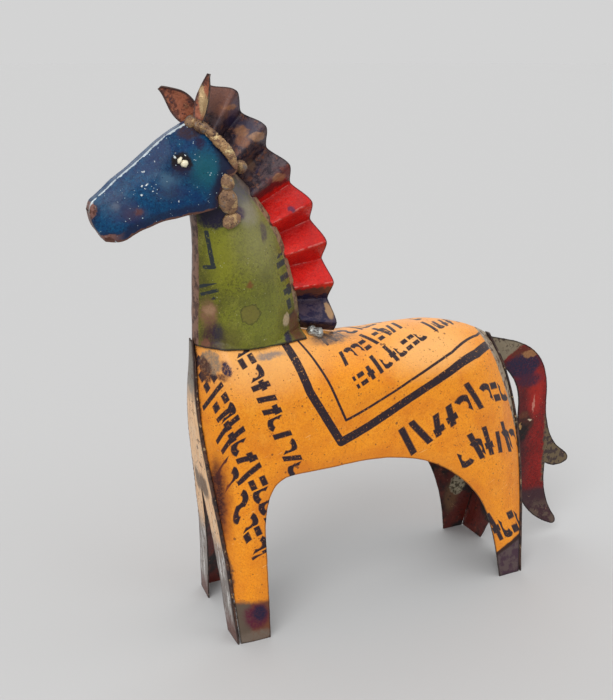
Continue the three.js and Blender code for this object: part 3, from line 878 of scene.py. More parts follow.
FAR_LEFT = -60
HIGH_ABOVE = 300
OPEN_HEIGHT = 20.0       # taken where there is no body below


def half_body(tree, points):
    """Half the width of the body at the length and height of each point; 0 above the back."""
    found = []
    for point in points:
        hit = tree.ray_cast(Vector((point[0], FAR_LEFT, point[2])), Vector((0, 1, 0)))[0]
        found.append(0.0 if hit is None else max(-hit.y, 0.0))
    return np.array(found)


def height_over(tree, points):
    """How far points stand above the surface under or over them."""
    found = []
    for point in points:
        hit = tree.ray_cast(Vector((point[0], point[1], HIGH_ABOVE)), Vector((0, 0, -1)))[0]
        found.append(OPEN_HEIGHT if hit is None else point[2] - hit.z - TIN / 2 - 0.2)
    return np.array(found)


def make_mane(body_tree, materials):
    rows = MANE_PLEATS * 26
    columns = 22
    sheet = Sheet(mane_surface, rows, columns)
    along, across = np.meshgrid(np.linspace(0, 1, rows + 1), np.linspace(0, 1, columns + 1), indexing="ij")
    sheet.set_flat(along, across)
    sheet.dent(0.3, 6, 16)
    sheet.trim(height_over(body_tree, sheet.points))
    return make_tin("mane_pleats", sheet, materials)


def make_tail(materials):
    sheet = Sheet(tail_surface, 84, 150)
    sheet.dent(0.35, 10, 18)
    snips = soft_noise(sheet.points, 4, 19) * 0.15
    sheet.trim(-distance_outside(TAIL, sheet.side_view) + snips)
    sheet.trim(sheet.points[:, 0] - rump_x(sheet.points[:, 2]) - 0.9)
    return make_tin("tail_plate", sheet, materials)


def make_ear(name, surface, seed, materials):
    sheet = Sheet(surface, 34, 24)
    sheet.dent(0.35, 4, seed)
    return make_tin(name, sheet, materials, 0.4)


# ---------------------------------------------------------------- braze, laid along lines
BRAZE_STEP = 0.36        # from ring to ring along a line, as a share of its radius
BRAZE_SIDES = 14
BRAZE_TAPER = 0.4        # how blunt the ends are


def braze_tree():
    """Swells and thins a line of filler metal, as each dab cooled, and roughens it."""
    tree = bpy.data.node_groups.new("laid_braze", "GeometryNodeTree")
    face = tree.interface
    face.new_socket("Line", in_out="INPUT", socket_type="NodeSocketGeometry")
    for name, value in (
            ("Radius", 1.0), ("Dab Length", 3.0), ("Dab Depth", 0.2), ("Roughness", 0.2), ("Lump Size", 2.0),
            ("Seed", 0.0)):
        face.new_socket(name, in_out="INPUT", socket_type="NodeSocketFloat").default_value = value
    face.new_socket("Metal", in_out="INPUT", socket_type="NodeSocketMaterial")
    face.new_socket("Braze", in_out="OUTPUT", socket_type="NodeSocketGeometry")
    build = Nodes(tree)
    given = tree.nodes.new("NodeGroupInput").outputs
    spline = tree.nodes.new("GeometryNodeSplineParameter").outputs
    curve = build.node("GeometryNodeMeshToCurve", {0: given["Line"]})
    spacing = build.both(given["Radius"], BRAZE_STEP)
    smooth = build.node("GeometryNodeResampleCurve", {"Curve": curve, "Length": spacing}, mode="LENGTH")
    turns = build.math("DIVIDE", spline["Length"], given["Dab Length"])
    swing = build.math("COSINE", build.both(turns, 2 * math.pi))
    swell = build.less(1.0, build.both(swing, given["Dab Depth"]))
    ends = build.math("SINE", build.both(spline["Factor"], math.pi))
    taper = build.math("POWER", build.math("MAXIMUM", ends, 0.004), BRAZE_TAPER)
    reach = build.both(build.both(swell, taper), given["Radius"])
    ring = build.node("GeometryNodeCurvePrimitiveCircle", {"Resolution": BRAZE_SIDES, "Radius": 1.0})
    tube = build.node("GeometryNodeCurveToMesh", {
        "Curve": smooth, "Scale": reach, "Profile Curve": ring, "Fill Caps": True})
    place = build.node("GeometryNodeInputPosition")
    scale = build.math("DIVIDE", 1 / MM, given["Lump Size"])
    cloud = build.node(
        "ShaderNodeTexNoise", {"Vector": place, "Scale": scale, "W": given["Seed"]}, "Color",
        noise_dimensions="4D")
    push = build.scaled(build.vector("SUBTRACT", cloud, (0.5, 0.5, 0.5)), given["Roughness"])
    moved = build.node("GeometryNodeSetPosition", {"Geometry": tube, "Offset": push})
    rounded = build.node("GeometryNodeSetShadeSmooth", {"Geometry": moved})
    real = build.node("GeometryNodeRealizeInstances", {"Geometry": rounded})
    painted = build.node("GeometryNodeSetMaterial", {"Geometry": real, "Material": given["Metal"]})
    build.node("NodeGroupOutput", {"Braze": painted})
    return tree


def settle(made):
    """Turns what the nodes make into a plain mesh."""
    bpy.context.view_layer.update()
    shown = made.evaluated_get(bpy.context.evaluated_depsgraph_get())
    mesh = bpy.data.meshes.new_from_object(shown)
    made.modifiers.clear()
    made.data = mesh
    return made


def lay_braze(name, lines, radius, material, dab, depth, rough, lump, seed, press=None):
    """One piece of filler metal along one or more lines of points. Press flattens it one way."""
    points = []
    edges = []
    for line in lines:
        smooth = catmull_rom(line)(np.linspace(0, 1, 12 * len(line)))
        start = len(points)
        points += [tuple((p + np.array([CENTRE_SHIFT, 0, 0])) * MM) for p in smooth]
        edges += [(k, k + 1) for k in range(start, len(points) - 1)]
    mesh = bpy.data.meshes.new(name)
    mesh.from_pydata(points, edges, [])
    made = bpy.data.objects.new(name, mesh)
    bpy.context.scene.collection.objects.link(made)
    modifier = made.modifiers.new("braze", "NODES")
    modifier.node_group = LAID_BRAZE
    sizes = {
        "Radius": radius * MM, "Dab Length": dab * MM, "Dab Depth": depth, "Roughness": rough * MM,
        "Lump Size": lump, "Seed": seed, "Metal": material}
    for item in LAID_BRAZE.interface.items_tree:
        if item.in_out == "INPUT" and item.name in sizes:
            modifier[item.identifier] = sizes[item.name]
    settle(made)
    if press is not None:
        flatten(made.data, points, *press)
    return made


def flatten(mesh, line, facing, share):
    """Presses a run of braze flat against what it lies on; facing is the way out."""
    tree = KDTree(len(line))
    for index, point in enumerate(line):
        tree.insert(point, index)
    tree.balance()
    out = Vector(facing).normalized()
    for vertex in mesh.vertices:
        middle = tree.find(vertex.co)[0]
        vertex.co -= out * ((vertex.co - middle).dot(out) * (1 - share))
    mesh.update()


def mirrored(lines):
    return [[(x, -y, z) for x, y, z in line] for line in lines]


# ---------------------------------------------------------------- finishes of this horse
INK = (40, 26, 34)
BURNT_BROWN = (66, 38, 32)
BURNT_NAVY = (34, 28, 56)
BURNT_PURPLE = (88, 28, 48)
SOOT = (22, 16, 18)


def clouded(name, base, rough, metal, layers, relief=None, kind=CLOUDY):
    """A finish of soft patches, laid one over the other."""
    coat = Finish(name, base, rough, metal)
    for tint, scale, low, high, seed, patch_kind, *how in layers:
        coat.over(tint, coat.cloud(scale, low, high, seed, patch_kind), *how)
    if relief:
        coat.raise_by(relief, None, kind)
    return coat


def maroon_inside():
    coat = clouded("maroon_lacquer_inside", (96, 26, 16), 0.4, 0.1, (
        ((18, 10, 12), 0.08, 0.42, 0.56, 0, CLOUDY, 0.5),
        ((122, 50, 28), 0.2, 0.56, 0.72, 2, CLOUDY, None, None, 0.7)), 0.8, SMOOTH)
    coat.fold_sides()
    bare = ((49.6, -17, 20.4), (2.9, 6, 4.6), 0.15)
    coat.over((122, 88, 58), coat.spot((47.4, -18, 15), (2.6, 6, 6.5), 0.4), 0.5, 0.3, 0.8)
    coat.over((186, 174, 146), coat.spot(*bare), 0.45, 0.2)
    coat.over((96, 86, 66), coat.both(coat.spot(*bare), coat.cloud(0.6, 0.5, 0.6, 6, SMOOTH)), 0.45, 0.4)
    coat.speckles(((150, 110, 80), 0.9, 0.42, 4, 0.6), (SOOT, 0.7, 0.3, 5, 0.7))
    return coat.done(gloss=0.2, gloss_rough=0.3, bump=0.25)


# The printed frame and rows on the body, in mm along the sheet and round it from the ridge.
FRAME_LINES = (
    (3.0, ((-38.5, -2), (-35.3, -9.3), (-29.7, -25.7), (-19.1, -42.8), (5.7, -30.7), (22.2, -23.1),
           (34.7, -16.4), (47.1, -6.9), (56, 0.5))),
    (3.0, ((-38.5, -2), (-49, 32), (6, 62))),
    (0.9, ((-33, -2), (-28.7, -11.2), (-23.2, -21.8), (-17.2, -35.2), (5.8, -24.5), (23.5, -17.1),
           (39.6, -6.8), (50, 3))),
    (0.9, ((-33, -2), (-43, 29), (10, 58))))
# Each block: where it starts, its slope, length, rows, row pitch, height of the marks and seed.
MARK_ROWS = (
    ((-44.3, -79.6), 108.1, 38, 1, 9, 9.0, 1), ((-39.1, -68.9), 110.8, 68, 1, 9, 9.2, 4),
    ((-29.5, -56.6), 111.3, 60, 1, 9, 8.8, 7), ((-12.8, -25.0), 26.0, 60, 7, 8.5, 7.0, 10),
    ((7.0, -51.8), 26.7, 56, 1, 12, 11.8, 15), ((27.6, -60.7), 24.2, 34, 1, 12, 11.5, 17),
    ((44.1, -87.8), 40.0, 32, 1, 12, 11.0, 26), ((38, 30), 24.0, 60, 4, 13, 10.4, 24))


def print_on_body(coat):
    """The printed border and the rows of marks."""
    at = coat.shaken(coat.flat(), 0.5, 0.12)
    marks = None
    for width, path in FRAME_LINES:
        for start, end in zip(path, path[1:]):
            marks = coat.either(marks, coat.line(at, start, end, width))
    for origin, *row in MARK_ROWS:
        marks = coat.either(marks, coat.strokes(at, origin, *row))
    return marks


def orange_print():
    coat = Finish("printed_orange_tin", (238, 148, 26), 0.4)
    from_chest = coat.value("first")
    from_rump = coat.value("second")
    rim = coat.value("rim")
    coat.fold_sides()
    wobble = coat.wobble(0.4, 2)

    # The printed colour lies unevenly and is faded and scuffed. The two pale blots on the back and the
    # lighter band along the top are painted sheen, and the colour is darker towards the cut edges.
    coat.weather((206, 108, 18), (244, 166, 54), 1)
    coat.grain((176, 88, 18), (250, 184, 80), 15, 0.34)
    coat.blots(
        ((238, 186, 120), (-44, -13, 92), (17, 12, 8), 0.7, 0.4),
        ((240, 192, 128), (16, -14, 90), (16, 9, 7), 0.7, 0.5))
    coat.over((240, 190, 118), coat.ramp(coat.z, 86, 99), amount=0.35)
    coat.over((196, 110, 34), coat.ramp(rim, 6.0, 0.0), amount=0.4)
    coat.speckles(((120, 62, 30), 1.2, 0.42, 2, 0.7), ((90, 50, 34), 0.5, 0.48, 3, 0.7))
    coat.scratches(((150, 78, 32), 70, 3, 0.6), ((246, 206, 140), 20, 5, 0.6), ((130, 70, 34), 130, 9, 0.5))
    worn = coat.cloud(1.3, 0.58, 0.66, 6, GRAINY)
    coat.over(INK, coat.without(print_on_body(coat), coat.both(worn, 0.7)), 0.42)

    # Bare margin down the rear edge.
    wide = coat.ramp(coat.z, 44, 84, 0.9, 5.6)
    margin_at = coat.less(coat.add(from_rump, coat.both(wobble, 0.35)), wide)
    margin = coat.ramp(margin_at, 0.25, -0.15)
    coat.over((160, 144, 122), margin, 0.38, 0.3)
    coat.over((96, 74, 62), coat.both(margin, coat.cloud(0.6, 0.48, 0.58, 8)), 0.5, 0.3)

    # Heat marks along the brazed chest seam and under the neck.
    seam = coat.ramp(coat.add(from_chest, coat.both(wobble, 0.45)), 1.5, 0.7)
    coat.over(BURNT_BROWN, seam, 0.55, 0.2)
    coat.over((136, 62, 24), coat.spot((-58.6, -12, 49), (3.2, 7, 15), 0.5), 0.48, 0.1, 0.7)
    coat.burn(
        ((64, 28, 24), (-59.2, -11.5, 49), (2.1, 7, 13), 0.4),
        ((96, 62, 44), (-57.8, -15, 22), (1.7, 6, 8), 0.3),
        ((140, 118, 96), (-58.8, -7, 94.2), (2.9, 6, 3.6), 0.15),
        ((76, 46, 36), (-60.4, -7, 92), (1.3, 6, 4.2), 0.25),
        (BURNT_NAVY, (-55.4, -12.4, 93.2), (1.3, 3, 2.2), 0.3),
        ((90, 56, 44), (-56.4, -10, 90.4), (1.6, 4, 1.2), 0.4),
        ((150, 128, 112), (-41, -13, 95.6), (5, 4, 1.0), 0.4),
        ((104, 86, 76), (-17, -6, 96.6), (9, 4, 1.5), 0.5))
    coat.speckles(((84, 48, 36), 0.7, 0.44, 7, 0.5))

    # Scorched feet.
    foot = coat.ramp(coat.add(coat.z, coat.both(wobble, 0.8)), 15.5, 12.8)
    front = coat.both(foot, coat.ramp(coat.x, 0, -1))
    coat.over((112, 66, 44), front, 0.48, 0.2)
    coat.over((98, 84, 72), coat.both(front, coat.ramp(coat.add(coat.x, wobble), -50.5, -53)), 0.45, 0.4)
    coat.burn(
        (BURNT_PURPLE, (-49.8, -19, 9), (4.2, 9, 4.6), 0.3),
        (BURNT_NAVY, (-48.8, -19, 10), (2.4, 9, 2.8), 0.4),
        ((112, 98, 86), (-50, -19, 1.6), (7, 9, 2.2), 0.4))
    slanted = coat.add(coat.math("MULTIPLY_ADD", coat.x, 0.35, -5.4), coat.both(wobble, 0.35))
    over_slant = coat.less(coat.z, slanted)
    hind = coat.both(coat.ramp(over_slant, 0.5, -0.3), coat.ramp(coat.x, 20, 21))
    coat.over((52, 32, 30), hind, 0.48, 0.3)
    lower = coat.both(hind, coat.ramp(over_slant, -1.2, -2.4))
    coat.over((92, 76, 76), lower, 0.42, 0.4)
    coat.over((70, 48, 60), coat.both(lower, coat.cloud(0.35, 0.44, 0.58, 11)), 0.42, 0.3)
    coat.over(SOOT, coat.ramp(rim, 0.6, 0.1), 0.6, amount=0.6)
    coat.raise_by(0.5, 0.6, CLOUDY)
    coat.raise_by(2.4, 0.1)
    return coat.done(gloss=0.12, gloss_rough=0.2, shine=0.2)


def bare_tin():
    coat = Finish("bare_bright_tin", (236, 190, 140), 0.4, 0.12)
    coat.fold_sides()
    drawn = coat.vector("MULTIPLY", coat.place, (1.0, 1.0, 0.1))
    streak = coat.noise(1.0, (5, 0.7), where=drawn)
    coat.over((176, 126, 92), coat.ramp(streak, 0.48, 0.64), 0.45, 0.2, 0.7)
    coat.over((228, 206, 176), coat.ramp(coat.noise(0.8, CLOUDY, 1, drawn), 0.54, 0.68), 0.35, 0.3, 0.8)
    high = coat.add(coat.z, coat.both(coat.noise(0.3, CLOUDY), 8.0))
    coat.over((134, 126, 116), coat.ramp(high, 82, 92), 0.38, 0.6)
    coat.over((138, 128, 122), coat.ramp(high, 42, 30), 0.36, 0.55)
    bright = coat.both(coat.ramp(high, 42, 34), coat.ramp(coat.noise(0.7, SMOOTH, 4, drawn), 0.54, 0.6))
    coat.over((220, 216, 212), bright, 0.3, 0.7)
    coat.over((112, 78, 70), coat.ramp(high, 15, 7), 0.45, 0.35)
    from_side = coat.add(coat.value("first"), coat.noise(0.7, CLOUDY))
    coat.over((66, 42, 36), coat.ramp(from_side, 1.5, 0.7), 0.55, 0.2, 0.85)
    coat.over((96, 58, 42), coat.cloud(0.3, 0.57, 0.63, 3, BROKEN), 0.5, 0.2, 0.8)
    coat.over((44, 28, 28), coat.spot((-60.4, -3, 51), (4, 4, 4.4), 0.3), 0.5, 0.2, 0.8)
    coat.speckles((SOOT, 1.0, 0.42, 3, 0.7), ((120, 84, 62), 0.6, 0.4, 5, 0.6))
    coat.over((48, 32, 30), coat.ramp(coat.value("rim"), 0.7, 0.15), 0.6, amount=0.75)
    coat.raise_by(0.7, None, CLOUDY)
    coat.lift(coat.both(streak, 0.6))
    return coat.done(bump=0.45)


def burnt_red():
    coat = Finish("burnt_red_tin", (116, 30, 22), 0.42, 0.1)
    coat.weather((50, 20, 22), (150, 60, 42), 2)
    coat.over((44, 22, 24), coat.cloud(0.1, 0.46, 0.58), 0.48, 0.2)
    coat.over((146, 122, 100), coat.cloud(0.16, 0.6, 0.64, 2, BROKEN), 0.45, 0.4, 0.85)
    coat.over((140, 132, 122), coat.ramp(coat.value("first"), 1.1, 0.7), 0.38, 0.6)
    low = coat.ramp(coat.add(coat.z, coat.both(coat.noise(0.3, CLOUDY), 6.0)), 15, 10)
    coat.over((70, 52, 58), low, 0.42, 0.4)
    coat.scratches(((170, 120, 110), 80, 4, 0.5))
    coat.raise_by(0.6, None, CLOUDY)
    return coat.done(gloss=0.15, gloss_rough=0.25, bump=0.35)


def blue_enamel():
    coat = Finish("blue_enamelled_tin", (8, 66, 106), 0.34)
    coat.fold_sides()
    coat.weather((6, 24, 62), (24, 96, 128), 3, 1.2)
    coat.grain((4, 14, 46), (44, 116, 144), 11, 0.5)
    coat.over((8, 34, 84), coat.cloud(0.1, 0.48, 0.62, 1, BROKEN), amount=0.5)
    # The broad pale patch near the nose and the pale patch on the cheek are painted sheen; the other blots
    # are heat and rust tints.
    coat.blots(
        ((70, 74, 100), (-84, -5, 143.5), (4.2, 6, 3.6), 0.7, 0.35),
        ((110, 116, 130), (-84.8, -5, 143.8), (1.2, 6, 1.0), 0.8, 0.45),
        ((86, 120, 140), (-69.6, -7, 150.6), (2.6, 6, 1.8), 0.9, 0.45),
        ((70, 66, 78), (-70, -8, 147), (4.2, 6, 1.8), 0.9, 0.3),
        ((24, 92, 98), (-58.5, -8, 153), (4.5, 6, 5), 0.7, 0.6),
        ((108, 66, 56), (-78.6, -7, 142), (1.2, 6, 1.0), 0.5, 0.8, 0.5),
        ((74, 50, 58), (-79.6, -7, 141.4), (3, 6, 2.0), 0.8, 0.5, 0.5))

    # Rust where the tin is folded in round the nose, a thin line along the jaw.
    rim_way = coat.add(coat.value("rim"), coat.both(coat.noise(0.8, CLOUDY), 1.4))
    nose = coat.both(coat.ramp(rim_way, 3.1, 2.7), coat.ramp(coat.x, -82, -87))
    coat.over((26, 30, 54), coat.ramp(rim_way, 4.4, 2.6), 0.42, amount=0.7)
    coat.over((124, 88, 80), nose, 0.5, 0.2)
    coat.over((82, 52, 46), coat.both(nose, coat.cloud(0.6, 0.48, 0.58, 4)), 0.5, 0.2)
    coat.over((96, 66, 56), coat.ramp(rim_way, 1.45, 1.1), 0.5, 0.3)

    # Heat from the braze at the back, and round the eye.
    rear = coat.add(coat.value("second"), coat.both(coat.noise(0.35, BROKEN, 5), 7.0))
    coat.over((22, 20, 44), coat.ramp(rear, 12.0, 7.0), 0.4, amount=0.85)
    coat.over((60, 40, 42), coat.ramp(rear, 5.6, 4.8), 0.5, 0.25, 0.85)
    coat.over((112, 78, 60), coat.ramp(rear, 4.3, 3.9), 0.5, 0.25, 0.85)
    coat.burn(
        ((52, 38, 48), (-62, -4, 163.4), (3.4, 5, 2.2), 0.3),
        (BURNT_NAVY, (-59.4, -6, 160.4), (1.5, 5, 1.6), 0.4))
    eye_place = coat.shaken(coat.place, 0.9, 1.6)
    rings = [coat.spot((-65.2, side, 155.2), (3.0, 9, 2.7), 0.2, eye_place) for side in (-7, 7)]
    coat.over(SOOT, coat.either(*rings), 0.3)
    coat.blots(((30, 24, 52), (-65.6, -8, 153), (2.6, 5, 2.2), 0.6, 0.7, 0.35))

    # Fold down the nose, worn to bare metal and with a painted highlight along it; flecks, of which those
    # beside the eye are painted glints; and scratches.
    below_ridge, from_middle = coat.parts(coat.flat())[:2]
    edge_of_band = coat.math("ABSOLUTE", coat.less(from_middle, HEAD_BAND_HALF))
    fold = coat.add(edge_of_band, coat.both(coat.noise(0.6, (4, 0.55), 7), 0.9))
    fold = coat.both(coat.ramp(fold, 0.68, 0.5), coat.ramp(below_ridge, 2.2, 1.0))
    coat.over((196, 206, 210), fold, 0.25, 0.3, 0.9)
    for at, reach in (
            ((-76.1, -5, 152.8), 0.22), ((-76.6, -6, 149.1), 0.26), ((-75.4, -6, 149.4), 0.26),
            ((-75.8, -6, 148.3), 0.2), ((-77.4, -6, 146.6), 0.34), ((-74.2, -7, 147.6), 0.2),
            ((-67.2, -8, 144.9), 0.2), ((-72.5, -5, 155.5), 0.18), ((-82, -5, 139.5), 0.2),
            ((-67.0, -7, 157.0), 0.34), ((-63.9, -7, 157.2), 0.3), ((-66.4, -7, 158.0), 0.18)):
        coat.blots(((214, 220, 220), at, (reach, 4, reach * 0.8), 0.3, 1, 0.4))
    coat.speckles(((170, 190, 198), 1.3, 0.47, 6, 0.8), ((6, 10, 30), 1.2, 0.42, 7, 0.6))
    coat.scratches(((60, 112, 144), 40, 8, 0.5))
    coat.raise_by(0.45, 0.9, CLOUDY)
    coat.raise_by(2.2, 0.14)
    return coat.done(gloss=0.08, gloss_rough=0.12, bump=0.35, shine=0.12)


def green_print():
    coat = Finish("printed_green_tin", (110, 112, 22), 0.42)
    coat.fold_sides()
    wobble = coat.wobble(0.45, 1.5)
    coat.weather((70, 68, 22), (142, 138, 58), 4, 1.5)
    coat.grain((62, 56, 22), (158, 148, 66), 13, 0.5)
    coat.blots(
        ((136, 132, 88), (-43, -9, 132), (8, 9, 10), 0.8, 0.55),
        ((130, 130, 30), (-55, -8, 127), (3.4, 6, 7), 0.8, 0.6),
        ((120, 126, 58), (-43, -10, 108), (9, 8, 9), 0.8, 0.4))
    coat.speckles(((60, 52, 28), 1.2, 0.42, 1, 0.7), ((176, 172, 136), 1.2, 0.48, 2, 0.5))
    coat.scratches(((70, 68, 32), 60, 3, 0.6))

    # Printed line, and marks down the front and the seam, on the left side only.
    at = coat.shaken(coat.joined(coat.x, coat.z), 0.6, 0.25)
    marks = coat.line(at, (-58.2, 134.4), (-56.9, 124.0), 1.1)
    marks = coat.either(marks, coat.line(at, (-56.9, 124.0), (-58.8, 123.8), 1.3))
    marks = coat.either(marks, coat.strokes(at, (-60.9, 118.4), -79.0, 5.0, 1, 6, 4.8, 33))
    marks = coat.either(marks, coat.strokes(at, (-37.4, 126.0), -76.0, 22.5, 1, 9, 8.8, 35))
    marks = coat.both(marks, coat.math("LESS_THAN", coat.y, 0))
    worn = coat.cloud(1.1, 0.56, 0.62, 6, BROKEN)
    coat.over((38, 44, 46), coat.without(marks, coat.both(worn, 0.8)), 0.44)

    # Bare and rusty front strip and seam.
    strip = coat.ramp(coat.add(coat.value("first"), coat.both(wobble, 0.3)), 3.6, 3.2)
    coat.over((126, 94, 78), strip, 0.45, 0.2)
    coat.over((80, 56, 48), coat.both(strip, coat.cloud(0.4, 0.46, 0.58, 7, BROKEN)), 0.5, 0.2)
    seam = coat.ramp(coat.add(coat.value("second"), coat.both(wobble, 0.45)), 4.3, 3.9)
    seam = coat.both(seam, coat.ramp(coat.z, 103, 112, 0.35, 1.0))
    coat.over((142, 116, 88), seam, 0.45, 0.3)
    coat.over((98, 76, 58), coat.both(seam, coat.cloud(0.5, 0.48, 0.58, 8)), 0.5, 0.2)

    # Heat under the jaw and behind the head, and along the hem. The darkest blots just below the jaw's edge
    # are painted shadow.
    coat.burn(
        ((96, 92, 96), (-47.6, -7, 144.5), (5.0, 8, 5.2), 0.5),
        ((134, 128, 106), (-45.6, -8, 139.4), (4, 8, 3.4), 0.6),
        ((76, 60, 76), (-50, -9, 139.6), (3.4, 8, 2.2), 0.35),
        ((24, 18, 46), (-56.4, -8, 138.2), (4.2, 8, 2.6), 0.25),
        (SOOT, (-58, -7, 140.6), (5, 8, 1.8), 0.3),
        ((88, 78, 70), (-40.6, -6, 133), (1.3, 6, 2.8), 0.4),
        ((124, 88, 66), (-58.6, -7, 109), (2.3, 6, 4.6), 0.5),
        ((150, 116, 88), (-58.2, -7, 110.6), (1.2, 6, 1.6), 0.6),
        ((66, 40, 40), (-57.8, -8, 101.4), (3.4, 7, 5.4), 0.5),
        (BURNT_NAVY, (-56.2, -8, 103.2), (1.6, 7, 3.0), 0.6),
        ((112, 70, 54), (-59.6, -7, 99.6), (1.2, 6, 1.8), 0.3),
        ((174, 156, 128), (-33.2, -8, 104.8), (1.7, 8, 2.2), 0.2),
        ((96, 62, 44), (-29.4, -6, 101.8), (2.6, 8, 4.8), 0.25),
        (BURNT_NAVY, (-33.2, -8, 99.4), (1.5, 8, 1.7), 0.25),
        ((112, 74, 36), (-47.1, -11, 118.6), (0.9, 6, 0.9), 0.5))
    coat.blots(
        ((24, 18, 44), (-56.8, -8, 139.4), (4.6, 8, 2.9), 0.5, 0.85),
        ((84, 76, 36), (-53, -9, 100.5), (3.4, 7, 5), 0.7, 0.6))
    ring_place = coat.shaken(coat.ragged, 1.0, 0.5)
    stain = coat.spot((-47, -11, 109.6), (3.3, 7, 3.3), 0.08, ring_place)
    inner = coat.spot((-47, -11, 109.6), (2.9, 7, 2.9), 0.1, ring_place)
    coat.over((104, 90, 46), inner, 0.45, amount=0.55)
    coat.over((56, 50, 28), coat.without(stain, inner), 0.45, amount=0.75)
    coat.over(SOOT, coat.ramp(coat.value("rim"), 0.7, 0.25), 0.6, amount=0.8)
    coat.raise_by(0.5, 0.8, CLOUDY)
    coat.raise_by(2.4, 0.1)
    return coat.done(gloss=0.1, gloss_rough=0.2, shine=0.2)


def mane_paint():
    coat = Finish("red_painted_pleats", (204, 24, 16), 0.4)
    along = coat.parts(coat.flat())[0]
    coat.weather((150, 14, 16), (222, 46, 30), 5)
    coat.grain((128, 10, 16), (226, 66, 50), 17, 0.4)

    # Paint worn thin on the folds, with a painted highlight along the creases.
    turns = coat.math("MULTIPLY_ADD", along, MANE_PLEATS * 2.0, 0.5)
    fold = coat.math("ABSOLUTE", coat.less(coat.math("FRACT", turns), 0.5))
    crease_wear_and_highlight = coat.both(coat.ramp(fold, 0.05, 0.02), coat.cloud(0.5, 0.44, 0.56, 2, SMOOTH))
    coat.over((206, 118, 110), crease_wear_and_highlight, 0.4, amount=0.55)
    coat.scratches(((196, 88, 84), 30, 4, 0.5))
    coat.ragged = coat.shaken(coat.place, 0.32, 1.7)
    coat.blots(((60, 30, 70), (-29.6, -2, 138.5), (0.9, 4, 0.9), 0.4, 0.8, 0.4))

    # Burnt from the poll down to the third fold.
    shaken_along = coat.add(along, coat.wobble(0.2, 0.05))
    top = coat.ramp(shaken_along, 0.4, 0.385)
    coat.over((76, 60, 64), top, 0.45, 0.2)
    for tint, scale, low, high, seed, *how in (
            ((40, 28, 38), 0.4, 0.46, 0.56, 5, 0.45, 0.2), ((106, 66, 52), 0.4, 0.53, 0.6, 6, 0.45, 0.2),
            (BURNT_NAVY, 0.34, 0.55, 0.63, 7, 0.42, 0.2, 0.8)):
        coat.over(tint, coat.both(top, coat.cloud(scale, low, high, seed, GRITTY)), *how)
    third_fold = coat.both(coat.ramp(shaken_along, 0.42, 0.39), coat.ramp(shaken_along, 0.35, 0.38))
    coat.over((96, 28, 30), third_fold, 0.42)
    coat.burn(
        ((112, 74, 62), (-50.8, 0, 172), (4.4, 6, 5.4), 0.3),
        ((86, 66, 78), (-46.4, -2, 168.6), (2.6, 6, 3.6), 0.35),
        (BURNT_NAVY, (-46.4, -2, 165.2), (3.6, 6, 2.2), 0.3),
        ((60, 54, 70), (-43, -2, 163), (3.0, 6, 2.8), 0.35),
        ((150, 112, 84), (-40.4, -2, 161.0), (2.6, 5, 1.6), 0.2),
        ((128, 84, 62), (-44.8, -1, 159.8), (1.9, 5, 1.8), 0.25),
        ((136, 94, 66), (-44.6, -1, 162.6), (1.5, 5, 1.5), 0.3),
        ((146, 100, 70), (-33.8, -2, 148.4), (2.7, 5, 1.4), 0.2),
        ((104, 76, 60), (-41, -1, 152.6), (1.5, 5, 2.0), 0.3),
        ((150, 102, 72), (-48.6, 1, 169.8), (2.9, 6, 0.8), 0.3))

    # Burnt foot.
    coat.over((104, 60, 46), coat.ramp(shaken_along, 0.79, 0.8), 0.48, 0.2)
    coat.over(BURNT_NAVY, coat.ramp(shaken_along, 0.83, 0.84), 0.42, 0.2)
    low = coat.both(coat.ramp(shaken_along, 0.84, 0.85), coat.cloud(0.3, 0.48, 0.58, 8, BROKEN))
    coat.over((70, 58, 72), low, 0.42, 0.3)
    coat.over((160, 126, 92), coat.spot((-15.6, 0, 104), (1.4, 4, 2.6), 0.2), 0.45, 0.4)
    coat.over(SOOT, coat.ramp(coat.value("rim"), 0.55, 0.15), 0.6, amount=0.7)
    coat.raise_by(0.5, 0.9, CLOUDY)
    coat.raise_by(2.2, 0.14)
    return coat.done(gloss=0.12, gloss_rough=0.2, bump=0.35, shine=0.2)


